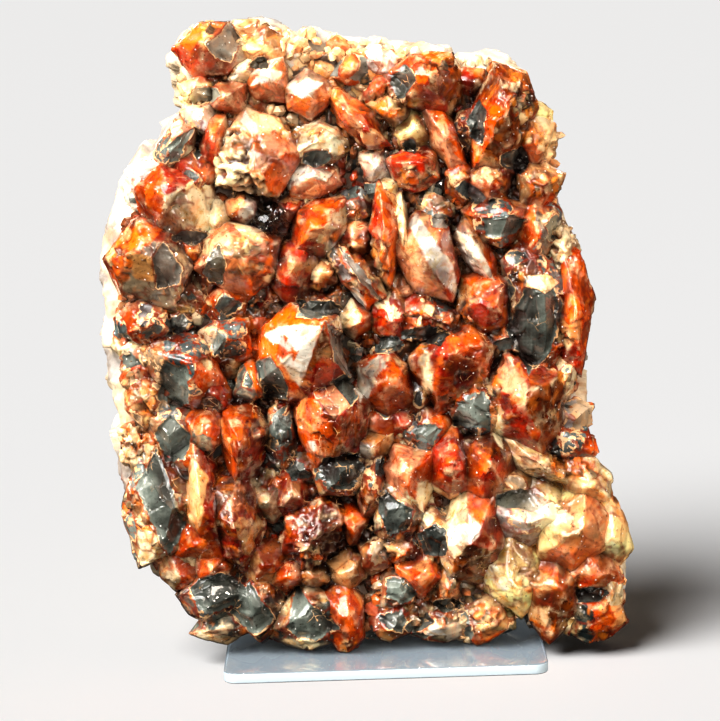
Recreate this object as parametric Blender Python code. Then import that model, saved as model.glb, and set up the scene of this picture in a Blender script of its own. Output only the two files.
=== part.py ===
"""Amethyst in matrix on a clear display stand.

A slab of pale host rock carries a druse of blunt quartz crystals on its front. It leans back a little on
an acrylic stand of a base plate and a back rest. Metres, +Z up, front towards -Y. The origin is the centre
of the base plate's underside.
"""
import math
import random

import bmesh
import bpy
from mathutils import Matrix, Vector, noise

MM = 0.001
GAP = 0.3                 # clearance between pieces that touch, mm

# Stand, mm
PLATE_SIDE = 88.0
PLATE_THICK = 3.0
PLATE_CORNER = 4.0
REST_WIDTH = 58.0
REST_HEIGHT = 96.0
REST_CORNER = 10.0
EDGE_POLISH = 0.35        # rounding of the sheet's edges
SHARP = math.radians(60)  # edges of the sheet that are polished are at least this sharp
PLATE_CORNER_STEPS = 6    # facets of each rounding
PLATE_POLISH_STEPS = 2
REST_CORNER_STEPS = 8
REST_POLISH_STEPS = 1

# Stone, mm. In the stone's own frame u runs right, v up its face and w out of its face.
LEAN = math.radians(6.0)  # how far the stone leans back
STONE_FOOT_Y = -22.0      # where the face's plane meets the plate's top
ROCK_DEPTH = 22.0         # rock behind the crystals
HEART = (-5.0, 85.0)      # middle of the slab
BED_BOTTOM = GAP
BED_TOP = 3.0             # crust that all the crystals grow from
BED_FOOT_SHARE = 0.925    # the crust's outline, as a share of the slab's, at its foot
BED_TOP_SHARE = 0.905     # the same at its top
RIM_BARE = 0.045          # how much narrower the slab's face is where its rim is bare
RIM_BARE_SIDE = math.radians(140.0)   # the side on which the rim is bare, from the right

# The slab's outline, (u, v), clockwise from its top left corner.
OUTLINE = (
    (-43, 174), (-31, 173), (-20, 170.5), (-9.5, 169), (0, 167.5), (10, 165.5), (20, 164), (33, 161),
    (40, 157.5), (45.5, 150), (51.5, 144), (51, 131.5), (49.5, 122), (54, 113), (57.5, 102), (58.7, 87),
    (56, 74), (58, 62), (58.5, 51.5), (62.5, 42), (67.5, 31), (68, 22), (66, 8), (60, 1.5), (50, 1.5),
    (44.5, 4), (41, 10), (37, 8), (33.5, 3), (22, 0), (12, 0), (0, 0), (-11, 0), (-22, 0), (-33, 2),
    (-41, 5.5), (-49, 5), (-54, 10), (-57, 18), (-64, 23), (-69, 40), (-72.5, 60), (-73, 78), (-74, 96),
    (-75.5, 110), (-72, 120), (-68, 132), (-58, 143.5), (-53, 152.5), (-54, 165), (-50, 172),
)

# Rings of the slab from its face to its back: (w, share of the outline).
ROCK_RINGS = ((0.0, 0.945), (-3.0, 0.985), (-8.5, 1.0), (-14.0, 0.99), (-18.5, 0.965), (-21.0, 0.90),
              (-21.5, 0.74), (-20.0, 0.56), (-21.5, 0.38), (-20.5, 0.20))
ROCK_BACK = 21.0          # depth of the slab's middle at its back
ROCK_FACE_CLEAR = 1.5     # the break stays this far behind the slab's face
ROCK_FACET = 9.0          # longer edges of the slab are split once
BROAD_SWELL = (0.035, 3.2)   # broad unevenness of the break: frequency per mm, reach in mm
FINE_SWELL = (0.12, 1.5)     # ledges and pits of the break
STEP_SWELL = (0.075, 1.6)    # flat chips that broke away at different depths
# Where the unevenness along u, v and w is read, so that the three differ.
SWELL_SHIFTS = (Vector((0.0, 0.0, 0.0)), Vector((9.3, -1.5, -7.9)), Vector((-4.7, 6.1, 3.3)))

# Crystals: (u, v, half width, half length, turn in degrees, height, tip's shift u, v, chip).
# A chip is the broken face: (direction it faces, its tilt, share of the height at which it cuts).
CRYSTALS = (
    # top left
    (-42.5, 165.5, 6.5, 7, 80, 15, -1, 2, None), (-29, 166, 6.5, 4.5, 0, 8, 0, 0, None),
    (-33, 160, 3, 5.5, 90, 9, 0, 0, None), (-26.5, 156, 6, 5.5, 20, 14, 0, 2, None),
    (-38.5, 153, 5, 5, 10, 13, 0, 0, None), (-46, 155, 4.5, 3.5, 0, 10, 0, 0, (60, 30, 0.7)),
    (-46, 147, 5, 4.5, 30, 12, 0, 0, (200, 25, 0.75)), (-52, 141, 8.5, 4, 49, 13, 0, 0, (150, 20, 0.75)),
    (-42.5, 141, 7, 4, 85, 14, 0, 0, None), (-47, 132.5, 6, 5.5, 0, 13, 0, 0, None),
    (-30, 137.5, 10, 10.5, 15, 20, 0, -2, (90, 38, 0.78)), (-59.5, 130.5, 6.5, 7, 0, 8, 0, 0, None),
    # top middle
    (-16.5, 152, 7, 5.5, 10, 15, 0, 1, None), (-14.5, 138.5, 6.5, 6, 0, 13, 0, 0, (270, 20, 0.75)),
    (-4, 146, 9.5, 4.5, -52, 16, 0, 0, None), (-3.5, 160, 5.5, 4, 0, 10, 0, 0, None),
    (4.5, 161, 5.5, 4, 0, 10, 0, 0, (90, 20, 0.7)), (3, 154, 4, 4, 0, 10, 0, 0, None),
    (9.5, 154, 5, 6, 0, 13, 0, 0, (180, 30, 0.7)), (17, 155.5, 7.5, 8, 20, 19, -1, 2, None),
    (6, 147.5, 5, 4.5, 0, 12, 0, 0, None), (11.5, 141.5, 5, 5, 0, 11, 0, 0, None),
    (13, 131.5, 7.5, 6.5, 5, 16, 0, 1, None), (1, 133, 4.5, 4.5, 0, 10, 0, 0, None),
    (3, 126.5, 4.5, 4, 0, 10, 0, 0, None), (-15, 129, 6, 5, 10, 13, 0, 0, None),
    (21, 140, 10, 4, -71, 13, 0, 0, None), (27, 155.5, 5, 4, 0, 10, 0, 0, None),
    # top right
    (36, 146, 13.5, 7, 78, 21, 1, 4, None), (28, 143, 4.5, 6, 0, 14, 0, 0, (190, 35, 0.72)),
    (45, 126, 6, 6, 0, 14, 0, 0, None), (44.5, 139, 5.5, 7, 0, 12, 0, 0, None),
    (32, 127.5, 5.5, 6.5, 0, 14, 0, 0, None), (39, 133.5, 4, 4.5, 0, 7, 0, 0, None),
    (24, 128, 4, 4.5, 0, 11, 0, 0, None),
    # upper left
    (-52.5, 122, 8.5, 9, 70, 19, -1, 3, None), (-42, 119.5, 6.5, 3.5, 100, 11, 0, 0, None),
    (-35.5, 123, 4, 4.5, 0, 12, 0, 0, None), (-27, 118.5, 6, 6.5, 0, 14, 0, 0, None),
    (-38.5, 108, 9.5, 10.5, 60, 20, 0, 2, None), (-45.5, 106, 5, 7, 0, 12, 0, 0, (200, 35, 0.7)),
    (-60, 109.5, 9.5, 10.5, 25, 22, 2, 3, (300, 30, 0.86)), (-49, 112.5, 5, 4.5, 0, 13, 0, 0, None),
    (-56, 98, 6.5, 4, 0, 9, 0, 0, None), (-49, 99, 4, 4, 0, 9, 0, 0, None),
    (-62.5, 92.5, 6.5, 6, 0, 14, 0, 0, None), (-53.5, 91.5, 5, 5, 0, 8, 0, 0, None),
    (-40.5, 97, 6, 5.5, 0, 12, 0, 0, (270, 25, 0.7)), (-41, 86.5, 6.5, 7, 10, 15, 0, 1, (215, 30, 0.75)),
    # centre top
    (-22, 121, 4, 4, 0, 10, 0, 0, None), (-14.5, 116, 7.5, 7, 15, 17, 0, 2, None),
    (-4.5, 121.5, 5.5, 5, 0, 12, 0, 0, (90, 30, 0.75)), (-4.5, 113, 5, 5.5, 0, 13, 0, 0, None),
    (-22, 105, 6, 8, 0, 15, 0, 1, None), (-5, 104.5, 9.5, 4.5, -56, 16, 0, 0, None),
    (-14.5, 104, 5, 5, 0, 11, 0, 0, None), (-14, 95.5, 7, 4.5, 0, 10, 0, 0, (90, 15, 0.75)),
    (3.5, 114, 12.5, 4.5, 88, 18, 0, 0, None), (8.5, 113.5, 10.5, 3, 100, 15, 0, 0, None),
    (15.5, 107.5, 8.5, 11, 15, 22, 0, 2, None), (17.5, 120, 5.5, 5, 0, 12, 0, 0, (60, 25, 0.7)),
    (4.5, 91, 5, 6.5, 0, 13, 0, 0, None), (-5, 91, 5, 5, 0, 12, 0, 0, None),
    (14.5, 89.5, 8, 6.5, 0, 15, 0, 1, (265, 32, 0.75)), (7, 100, 4.5, 4.5, 0, 9, 0, 0, None),
    # upper right
    (35, 116, 8.5, 6.5, 0, 16, 0, 1, (250, 28, 0.75)), (44.5, 114.5, 5.5, 7.5, 0, 14, 0, 0, None),
    (52, 108, 4, 7, 0, 9, 0, 0, None), (28, 108.5, 9.5, 4, -56, 15, 0, 0, None),
    (31, 95.5, 7, 7.5, 0, 16, 0, 1, None), (43.5, 93, 8.5, 14, 0, 18, 0, 2, (215, 22, 0.74)),
    (54, 91.5, 16, 5, 90, 15, 0, 0, None), (35.5, 84.5, 5.5, 5, 0, 10, 0, 0, None),
    (26, 90, 4.5, 4.5, 0, 10, 0, 0, None), (37, 105, 4, 4, 0, 8, 0, 0, None),
    # left
    (-64.5, 83, 5, 6, 0, 8, 0, 0, None), (-53.5, 79, 10, 9, 10, 18, 1, 3, (215, 30, 0.74)),
    (-45.5, 71.5, 5.5, 5.5, 0, 13, 0, 0, None), (-64, 71, 5.5, 6.5, 0, 11, 0, 0, None),
    (-56, 62.5, 7, 6.5, 0, 13, 0, 0, (120, 20, 0.75)), (-48, 62, 5.5, 8, 0, 15, 0, 0, None),
    (-37.5, 60, 11.5, 6.5, 95, 19, 0, 0, None), (-66, 57.5, 4.5, 7, 0, 9, 0, 0, None),
    (-59, 42.5, 14, 9, 82, 18, 1, 0, (170, 26, 0.74)), (-51, 54, 5.5, 5.5, 0, 14, 0, 0, None),
    (-48, 42, 14, 6, 92, 21, 0, 0, None), (-39.5, 38.5, 14, 8, 95, 22, 0, 0, None),
    (-49.5, 33, 6.5, 6, 0, 17, 0, 0, None), (-34, 75, 4.5, 5.5, 0, 12, 0, 0, None),
    # centre
    (-20.5, 79.5, 12.5, 12, 10, 29, 6.5, 11, None), (-13, 64, 9.5, 11, -20, 24, 2, 3, (40, 40, 0.82)),
    (2.5, 72.5, 8.5, 8, 0, 17, 0, 1, None), (20, 78, 9, 10.5, -20, 20, 1, 2, None),
    (5, 84, 5.5, 4.5, 0, 10, 0, 0, (90, 15, 0.75)), (0.5, 62.5, 5, 5, 0, 11, 0, 0, None),
    (6.5, 63.5, 4.5, 5, 0, 10, 0, 0, None), (13, 60, 7, 6, 0, 13, 0, 0, (90, 18, 0.72)),
    (-2, 57, 5.5, 4.5, 0, 14, 0, 0, None), (-10.5, 50, 7, 7, 10, 19, 0, 0, (120, 22, 0.78)),
    (-2.5, 45, 9, 4, 88, 16, 0, 0, None), (9.5, 47.5, 7.5, 8.5, 20, 19, -1, 2, None),
    (4.5, 38.5, 7, 8, 0, 18, 0, 0, (250, 24, 0.76)), (-26, 61, 5, 7.5, 0, 14, 0, 0, (180, 30, 0.72)),
    (-22, 51, 5, 5, 0, 9, 0, 0, None), (12, 70, 5, 5, 0, 10, 0, 0, None),
    # right
    (27.5, 65, 8.5, 8, 0, 18, 0, 1, (230, 24, 0.76)), (40, 66.5, 10, 10.5, 15, 22, 0, 2, None),
    (20, 50, 5.5, 9.5, 0, 18, 0, 1, None), (29.5, 50, 6.5, 10, 0, 19, 0, 1, None),
    (53.5, 62.5, 5.5, 5, 0, 10, 0, 0, None), (52, 55, 6.5, 5.5, 0, 13, 0, 0, (150, 30, 0.7)),
    (44, 50.5, 10.5, 4.5, -28, 15, 0, 0, None), (55.5, 46, 8, 5.5, -30, 14, 0, 0, None),
    (36, 45, 6.5, 4, 0, 14, 0, 0, None), (40, 36.5, 12, 8, 10, 16, 0, 2, (100, 24, 0.76)),
    (51, 73, 3, 6, 0, 10, 0, 0, None), (46, 73.5, 5, 5, 0, 11, 0, 0, None),
    # bottom left
    (-45.5, 24.5, 5, 5, 0, 15, 0, 0, None), (-56, 23.5, 5.5, 5.5, 0, 11, 0, 0, None),
    (-46, 15.5, 9, 8.5, 10, 15, 0, 1, (170, 24, 0.76)), (-35, 13, 6.5, 8, 0, 15, 0, 1, (230, 24, 0.76)),
    (-44.5, 8, 6.5, 4, 0, 8, 0, 0, None), (-32, 25.5, 7, 6, 30, 14, 0, 0, None),
    (-30.5, 43, 5, 6, 0, 12, 0, 0, None),
    # bottom middle
    (-18, 32, 9, 9, 0, 19, 0, 0, None), (-24, 43, 6.5, 6, 0, 13, 0, 0, None),
    (-26, 22.5, 5, 5, 0, 13, 0, 0, None), (-19.5, 21.5, 4.5, 4.5, 0, 12, 0, 0, None),
    (-9.5, 22.5, 6, 5.5, 0, 13, 0, 0, None), (-2.5, 26.5, 5, 5.5, 0, 12, 0, 0, None),
    (-20.5, 9.5, 8.5, 9, 5, 16, 0, 2, (255, 24, 0.76)), (-10, 10, 5.5, 9.5, 0, 14, 0, 0, None),
    (-7, 35, 5, 5.5, 0, 14, 0, 0, None), (4, 16.5, 6, 6, 0, 12, 0, 0, (200, 24, 0.72)),
    (10, 21.5, 6, 5.5, 0, 14, 0, 0, None), (5, 28.5, 5, 4.5, 0, 12, 0, 0, (90, 35, 0.7)),
    (15, 31, 6, 7, 0, 15, 0, 1, (240, 28, 0.74)), (16, 6.5, 8, 4.5, 0, 9, 0, 0, None),
    (2, 7.5, 7, 6, 0, 9, 0, 0, None), (18, 17, 5, 5.5, 0, 12, 0, 0, None),
    # bottom right
    (24.5, 28, 12, 7.5, 88, 20, 0, 2, None), (37, 21, 8, 9, 0, 15, 0, 0, None),
    (28, 7.5, 8.5, 5.5, 0, 10, 0, 0, None), (53, 31.5, 8.5, 11, 0, 18, 0, 1, None),
    (46.5, 14, 7, 9.5, 0, 16, 0, 0, None), (57.5, 21.5, 7, 6.5, 0, 14, 0, 0, (60, 25, 0.76)),
    (63, 30, 5, 7.5, 0, 11, 0, 0, None), (57.5, 8.5, 7.5, 6.5, 0, 12, 0, 0, None),
    (62.5, 14, 4, 7, 0, 9, 0, 0, None), (50, 6.5, 5, 4, 0, 9, 0, 0, (250, 20, 0.7)),
)
CRYSTAL_SIDES = 6
ROOT = 0.4                # how deep a crystal's foot lies over the crust's underside
SHOULDER = 0.36           # height of a crystal's upright sides, as a share of the whole
SHOULDER_RANGE = (0.75, 1.25)   # how much that differs from one corner to the next
SPREAD = 1.36             # how far the foot is wider than the sizes above, so that neighbours grow together
TAPER = 0.30              # how much of its width a crystal's side would lose over its whole height
UNEVEN = 0.24             # how far a corner strays, as a share of the half width
CUT_TOLERANCE = 0.0001    # mm, within which a corner counts as lying on the cut
SEED = 21


def new_material(name, rgba, roughness, alpha=1.0):
    """A Principled material with the piece's plain colour."""
    material = bpy.data.materials.new(name)
    material.use_nodes = True
    shader = material.node_tree.nodes["Principled BSDF"]
    shader.inputs["Base Color"].default_value = rgba
    shader.inputs["Roughness"].default_value = roughness
    shader.inputs["Metallic"].default_value = 0.0
    shader.inputs["Alpha"].default_value = alpha
    return material


def new_object(name, bm, collection, material, parent=None):
    """Turn a bmesh drawn in millimetres into a named object."""
    bmesh.ops.scale(bm, vec=(MM, MM, MM), verts=bm.verts)
    bmesh.ops.recalc_face_normals(bm, faces=bm.faces)
    mesh = bpy.data.meshes.new(name)
    bm.to_mesh(mesh)
    bm.free()
    mesh.materials.append(material)
    piece = bpy.data.objects.new(name, mesh)
    collection.objects.link(piece)
    piece.parent = parent
    return piece


def new_collection(name):
    """A collection under the scene's own."""
    collection = bpy.data.collections.new(name)
    bpy.context.scene.collection.children.link(collection)
    return collection


def floor_of_face(w):
    """The lowest v that stays clear of the base plate at this distance from the face's plane."""
    return (GAP - w * math.sin(LEAN)) / math.cos(LEAN)


def face_margin(angle):
    """How much of the slab's rim is left bare by the crystals: wide at the left and the top left."""
    return 1.0 - RIM_BARE * max(0.0, math.cos(angle - RIM_BARE_SIDE))


def ring_of(w, share):
    """One closed ring of the slab, before it is roughened."""
    points = []
    for u, v in OUTLINE:
        du = u - HEART[0]
        dv = v - HEART[1]
        reach = share * (face_margin(math.atan2(dv, du)) if w == 0.0 else 1.0)
        points.append(Vector((HEART[0] + du * reach, HEART[1] + dv * reach, w)))
    return points


def broken_surface(place):
    """How far the break strays from an even surface at this place."""
    stray = Vector(noise.noise(place * BROAD_SWELL[0] + shift) for shift in SWELL_SHIFTS) * BROAD_SWELL[1]
    stray += Vector(noise.noise(place * FINE_SWELL[0] + shift) for shift in SWELL_SHIFTS) * FINE_SWELL[1]
    chip = noise.cell_vector(place * STEP_SWELL[0])
    return stray + (Vector(chip) - Vector((0.5, 0.5, 0.5))) * STEP_SWELL[1]


def make_matrix(collection, stone):
    """The slab of host rock: a loft of its rings, closed by the flat face and a point at the back."""
    bm = bmesh.new()
    rings = [[bm.verts.new(p) for p in ring_of(*row)] for row in ROCK_RINGS]
    count = len(OUTLINE)
    for near, far in zip(rings, rings[1:]):
        for i in range(count):
            j = (i + 1) % count
            bm.faces.new((near[i], near[j], far[j], far[i]))
    heart = bm.verts.new((HEART[0], HEART[1], -ROCK_BACK))
    for i in range(count):
        bm.faces.new((rings[-1][i], rings[-1][(i + 1) % count], heart))
    long_edges = [e for e in bm.edges if e.calc_length() > ROCK_FACET and not e.is_boundary]
    bmesh.ops.subdivide_edges(bm, edges=long_edges, cuts=1, use_grid_fill=True)
    for vert in bm.verts:
        if vert.co.z < -ROCK_FACE_CLEAR / 3.0:
            vert.co += broken_surface(vert.co)
            vert.co.z = min(-ROCK_FACE_CLEAR, max(-ROCK_DEPTH, vert.co.z))
    bmesh.ops.holes_fill(bm, edges=[e for e in bm.edges if e.is_boundary], sides=0)
    for vert in bm.verts:
        vert.co.y = max(vert.co.y, floor_of_face(vert.co.z))
    bmesh.ops.triangulate(bm, faces=bm.faces)
    rock = new_material("host_rock", (0.74, 0.67, 0.58, 1.0), 0.7)
    return new_object("matrix", bm, collection, rock, stone)


def make_crystal(bm, row, draw):
    """One blunt six-sided crystal: upright sides, a pointed top and, where it is broken, a flat cut."""
    u, v, half_width, half_length, turn, height, tip_u, tip_v, chip = row
    made = bmesh.ops.create_cone(bm, cap_ends=True, cap_tris=False, segments=CRYSTAL_SIDES, radius1=1.0,
                                 radius2=1.0, depth=1.0)
    verts = made["verts"]
    feet = [x for x in verts if x.co.z < 0.0]
    shoulders = [e.other_vert(x) for x in feet for e in x.link_edges if e.other_vert(x).co.z > 0.0]
    top = next(f for f in shoulders[0].link_faces if all(x in shoulders for x in f.verts))
    apex = bmesh.ops.poke(bm, faces=[top])["verts"][0]
    for foot, corner in zip(feet, shoulders):
        foot.co.x = (foot.co.x + draw.uniform(-UNEVEN, UNEVEN)) * half_width * SPREAD
        foot.co.y = (foot.co.y + draw.uniform(-UNEVEN, UNEVEN)) * half_length * SPREAD
        foot.co.z = 0.0
        rise = SHOULDER * draw.uniform(*SHOULDER_RANGE)
        corner.co = foot.co * (1.0 - rise * TAPER)
        corner.co.z = rise * height
    apex.co = Vector((0.0, 0.0, height))
    verts.append(apex)
    bmesh.ops.rotate(bm, verts=verts, cent=(0, 0, 0), matrix=Matrix.Rotation(math.radians(turn), 3, "Z"))
    for vert in verts:
        rise = vert.co.z / height
        vert.co.x += tip_u * rise
        vert.co.y += tip_v * rise
    if chip:
        facing, tilt, cut = math.radians(chip[0]), math.radians(chip[1]), chip[2]
        normal = Vector((math.sin(tilt) * math.cos(facing), math.sin(tilt) * math.sin(facing),
                         math.cos(tilt)))
        bmesh.ops.bisect_plane(bm, geom=bm.verts[:] + bm.edges[:] + bm.faces[:], dist=CUT_TOLERANCE,
                               plane_co=Vector((tip_u * cut, tip_v * cut, height * cut)), plane_no=normal,
                               clear_outer=True)
        rim = [e for e in bm.edges if e.is_boundary]
        bmesh.ops.holes_fill(bm, edges=rim, sides=0)
    for vert in bm.verts:
        vert.co.x += u
        vert.co.y += v
        vert.co.z += BED_BOTTOM + ROOT
        vert.co.y = max(vert.co.y, floor_of_face(vert.co.z))


def make_bed(collection, stone, material):
    """The crust that the crystals grow from, a little smaller than the slab's face."""
    bm = bmesh.new()
    rings = []
    for w, share in ((BED_BOTTOM, BED_FOOT_SHARE), (BED_TOP, BED_TOP_SHARE)):
        ring = []
        for u, v in OUTLINE:
            du = u - HEART[0]
            dv = v - HEART[1]
            reach = share * face_margin(math.atan2(dv, du))
            ring.append(bm.verts.new((HEART[0] + du * reach, HEART[1] + dv * reach, w)))
        rings.append(ring)
    bm.faces.new(rings[0])
    bm.faces.new(list(reversed(rings[1])))
    count = len(OUTLINE)
    for i in range(count):
        j = (i + 1) % count
        bm.faces.new((rings[0][i], rings[0][j], rings[1][j], rings[1][i]))
    return new_object("crystals", bm, collection, material, stone)


def make_crystals(collection, tools, stone):
    """The druse: every crystal joined to the crust by one Boolean union."""
    material = new_material("iron_stained_quartz", (0.52, 0.16, 0.05, 1.0), 0.15)
    draw = random.Random(SEED)
    for number, row in enumerate(CRYSTALS):
        bm = bmesh.new()
        make_crystal(bm, row, draw)
        grown = new_object(f"crystal_{number:03d}", bm, tools, material, stone)
        grown.hide_render = True
        grown.display_type = "WIRE"
    druse = make_bed(collection, stone, material)
    join = druse.modifiers.new("join", "BOOLEAN")
    join.operation = "UNION"
    join.solver = "EXACT"
    join.operand_type = "COLLECTION"
    join.collection = tools
    return druse


def make_stand_base(collection, material):
    """The base plate, with rounded corners and polished edges."""
    bm = bmesh.new()
    bmesh.ops.create_cube(bm, size=1.0)
    bmesh.ops.scale(bm, vec=(PLATE_SIDE, PLATE_SIDE, PLATE_THICK), verts=bm.verts)
    bmesh.ops.translate(bm, vec=(0, 0, PLATE_THICK * 0.5), verts=bm.verts)
    upright = [e for e in bm.edges if abs(e.verts[0].co.z - e.verts[1].co.z) > 1.0]
    bmesh.ops.bevel(bm, geom=upright, offset=PLATE_CORNER, segments=PLATE_CORNER_STEPS, profile=0.5,
                    affect="EDGES")
    rims = [e for e in bm.edges if len(e.link_faces) == 2 and e.calc_face_angle() > SHARP]
    bmesh.ops.bevel(bm, geom=rims, offset=EDGE_POLISH, segments=PLATE_POLISH_STEPS, profile=0.5,
                    affect="EDGES")
    return new_object("stand_base", bm, collection, material)


def make_stand_back(collection, material, stone):
    """The rest that the stone leans on, cut level at its foot, with round upper corners."""
    bm = bmesh.new()
    bmesh.ops.create_cube(bm, size=1.0)
    front = -ROCK_DEPTH - GAP
    for vert in bm.verts:
        vert.co.x = math.copysign(REST_WIDTH * 0.5, vert.co.x)
        vert.co.z = front if vert.co.z > 0 else front - PLATE_THICK
        vert.co.y = REST_HEIGHT if vert.co.y > 0 else floor_of_face(vert.co.z)
    corners = [e for e in bm.edges
               if all(x.co.y == REST_HEIGHT for x in e.verts) and e.verts[0].co.x == e.verts[1].co.x]
    bmesh.ops.bevel(bm, geom=corners, offset=REST_CORNER, segments=REST_CORNER_STEPS, profile=0.5,
                    affect="EDGES")
    rims = [e for e in bm.edges if len(e.link_faces) == 2 and e.calc_face_angle() > SHARP]
    bmesh.ops.bevel(bm, geom=rims, offset=EDGE_POLISH, segments=REST_POLISH_STEPS, profile=0.5,
                    affect="EDGES")
    return new_object("stand_back", bm, collection, material, stone)


def main():
    """Clear the scene and build the specimen on its stand."""
    for old in list(bpy.data.objects):
        bpy.data.objects.remove(old, do_unlink=True)
    collection = new_collection("amethyst_in_matrix")
    tools = new_collection("crystals_to_join")
    stone = bpy.data.objects.new("stone_frame", None)
    stone.location = (0.0, STONE_FOOT_Y * MM, PLATE_THICK * MM)
    stone.rotation_euler = (math.radians(90.0) - LEAN, 0.0, 0.0)
    collection.objects.link(stone)
    acrylic = new_material("clear_acrylic", (0.86, 0.92, 0.96, 1.0), 0.05, 0.35)
    make_stand_base(collection, acrylic)
    rest = new_material("clear_acrylic_rest", (0.86, 0.92, 0.96, 1.0), 0.05, 0.35)
    make_stand_back(collection, rest, stone)
    make_matrix(collection, stone)
    make_crystals(collection, tools, stone)


main()
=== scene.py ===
"""Amethyst in matrix on a clear stand: the looks.

A pale slab of chalcedony and quartz rock carries a druse of blunt quartz crystals under a glossy skin of
iron oxide. The stone's own frame is in millimetres: u runs right, v up its face and w out of its face.
"""

import itertools
import math
import random

import bmesh
import bpy
import numpy as np
from mathutils import Matrix, Vector


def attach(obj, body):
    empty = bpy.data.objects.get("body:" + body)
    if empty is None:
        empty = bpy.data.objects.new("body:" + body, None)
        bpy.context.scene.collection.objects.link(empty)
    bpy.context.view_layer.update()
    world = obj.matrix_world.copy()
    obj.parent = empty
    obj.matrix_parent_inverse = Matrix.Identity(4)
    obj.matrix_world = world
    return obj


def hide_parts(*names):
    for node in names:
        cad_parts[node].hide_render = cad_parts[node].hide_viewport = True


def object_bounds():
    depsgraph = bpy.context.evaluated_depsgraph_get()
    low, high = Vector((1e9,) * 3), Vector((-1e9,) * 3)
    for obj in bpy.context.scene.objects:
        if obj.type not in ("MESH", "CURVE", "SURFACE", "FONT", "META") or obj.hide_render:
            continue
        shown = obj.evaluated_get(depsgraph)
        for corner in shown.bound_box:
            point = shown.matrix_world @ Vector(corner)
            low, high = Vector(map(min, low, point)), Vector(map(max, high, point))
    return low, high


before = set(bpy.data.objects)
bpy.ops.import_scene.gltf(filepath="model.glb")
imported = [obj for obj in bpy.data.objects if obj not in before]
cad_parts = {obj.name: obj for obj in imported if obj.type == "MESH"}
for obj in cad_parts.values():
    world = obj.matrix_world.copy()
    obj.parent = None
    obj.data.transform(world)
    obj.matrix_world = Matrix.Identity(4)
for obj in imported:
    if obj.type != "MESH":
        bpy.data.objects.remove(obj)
CAD_LOW, CAD_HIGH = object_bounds()

MM = 0.001

# Stand, mm
PLATE_SIDE = 88.0
PLATE_THICK = 3.0
PLATE_CORNER = 4.0
REST_WIDTH = 58.0
REST_HEIGHT = 96.0
REST_CORNER = 10.0
EDGE_POLISH = 0.45
GAP = 0.3                  # clearance between pieces that touch
BOX_INSET = 0.05           # how far the pieces stay inside the solid model's box

# Stone, mm
LEAN = math.radians(6.0)   # how far the stone leans back
STONE_FOOT_Y = -22.0       # where the face's plane meets the plate's top
ROCK_DEPTH = 22.0          # rock behind the crystals
HEART = (-5.0, 85.0)       # middle of the slab
BED_TOP = 3.0              # crust that all the crystals grow from

# The slab's outline, (u, v), clockwise from its top left corner.
OUTLINE = (
    (-43, 174), (-31, 173), (-20, 170.5), (-9.5, 169), (0, 167.5), (10, 165.5), (20, 164), (33, 161),
    (40, 157.5), (45.5, 150), (51.5, 144), (51, 131.5), (49.5, 122), (54, 113), (57.5, 102), (58.7, 87),
    (56, 74), (58, 62), (58.5, 51.5), (62.5, 42), (67.5, 31), (68, 22), (66, 8), (60, 1.5), (50, 1.5),
    (44.5, 4), (41, 10), (37, 8), (33.5, 3), (22, 0), (12, 0), (0, 0), (-11, 0), (-22, 0), (-33, 2),
    (-41, 5.5), (-49, 5), (-54, 10), (-57, 18), (-64, 23), (-69, 40), (-72.5, 60), (-73, 78), (-74, 96),
    (-75.5, 110), (-72, 120), (-68, 132), (-58, 143.5), (-53, 152.5), (-54, 165), (-50, 172),
)

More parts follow.
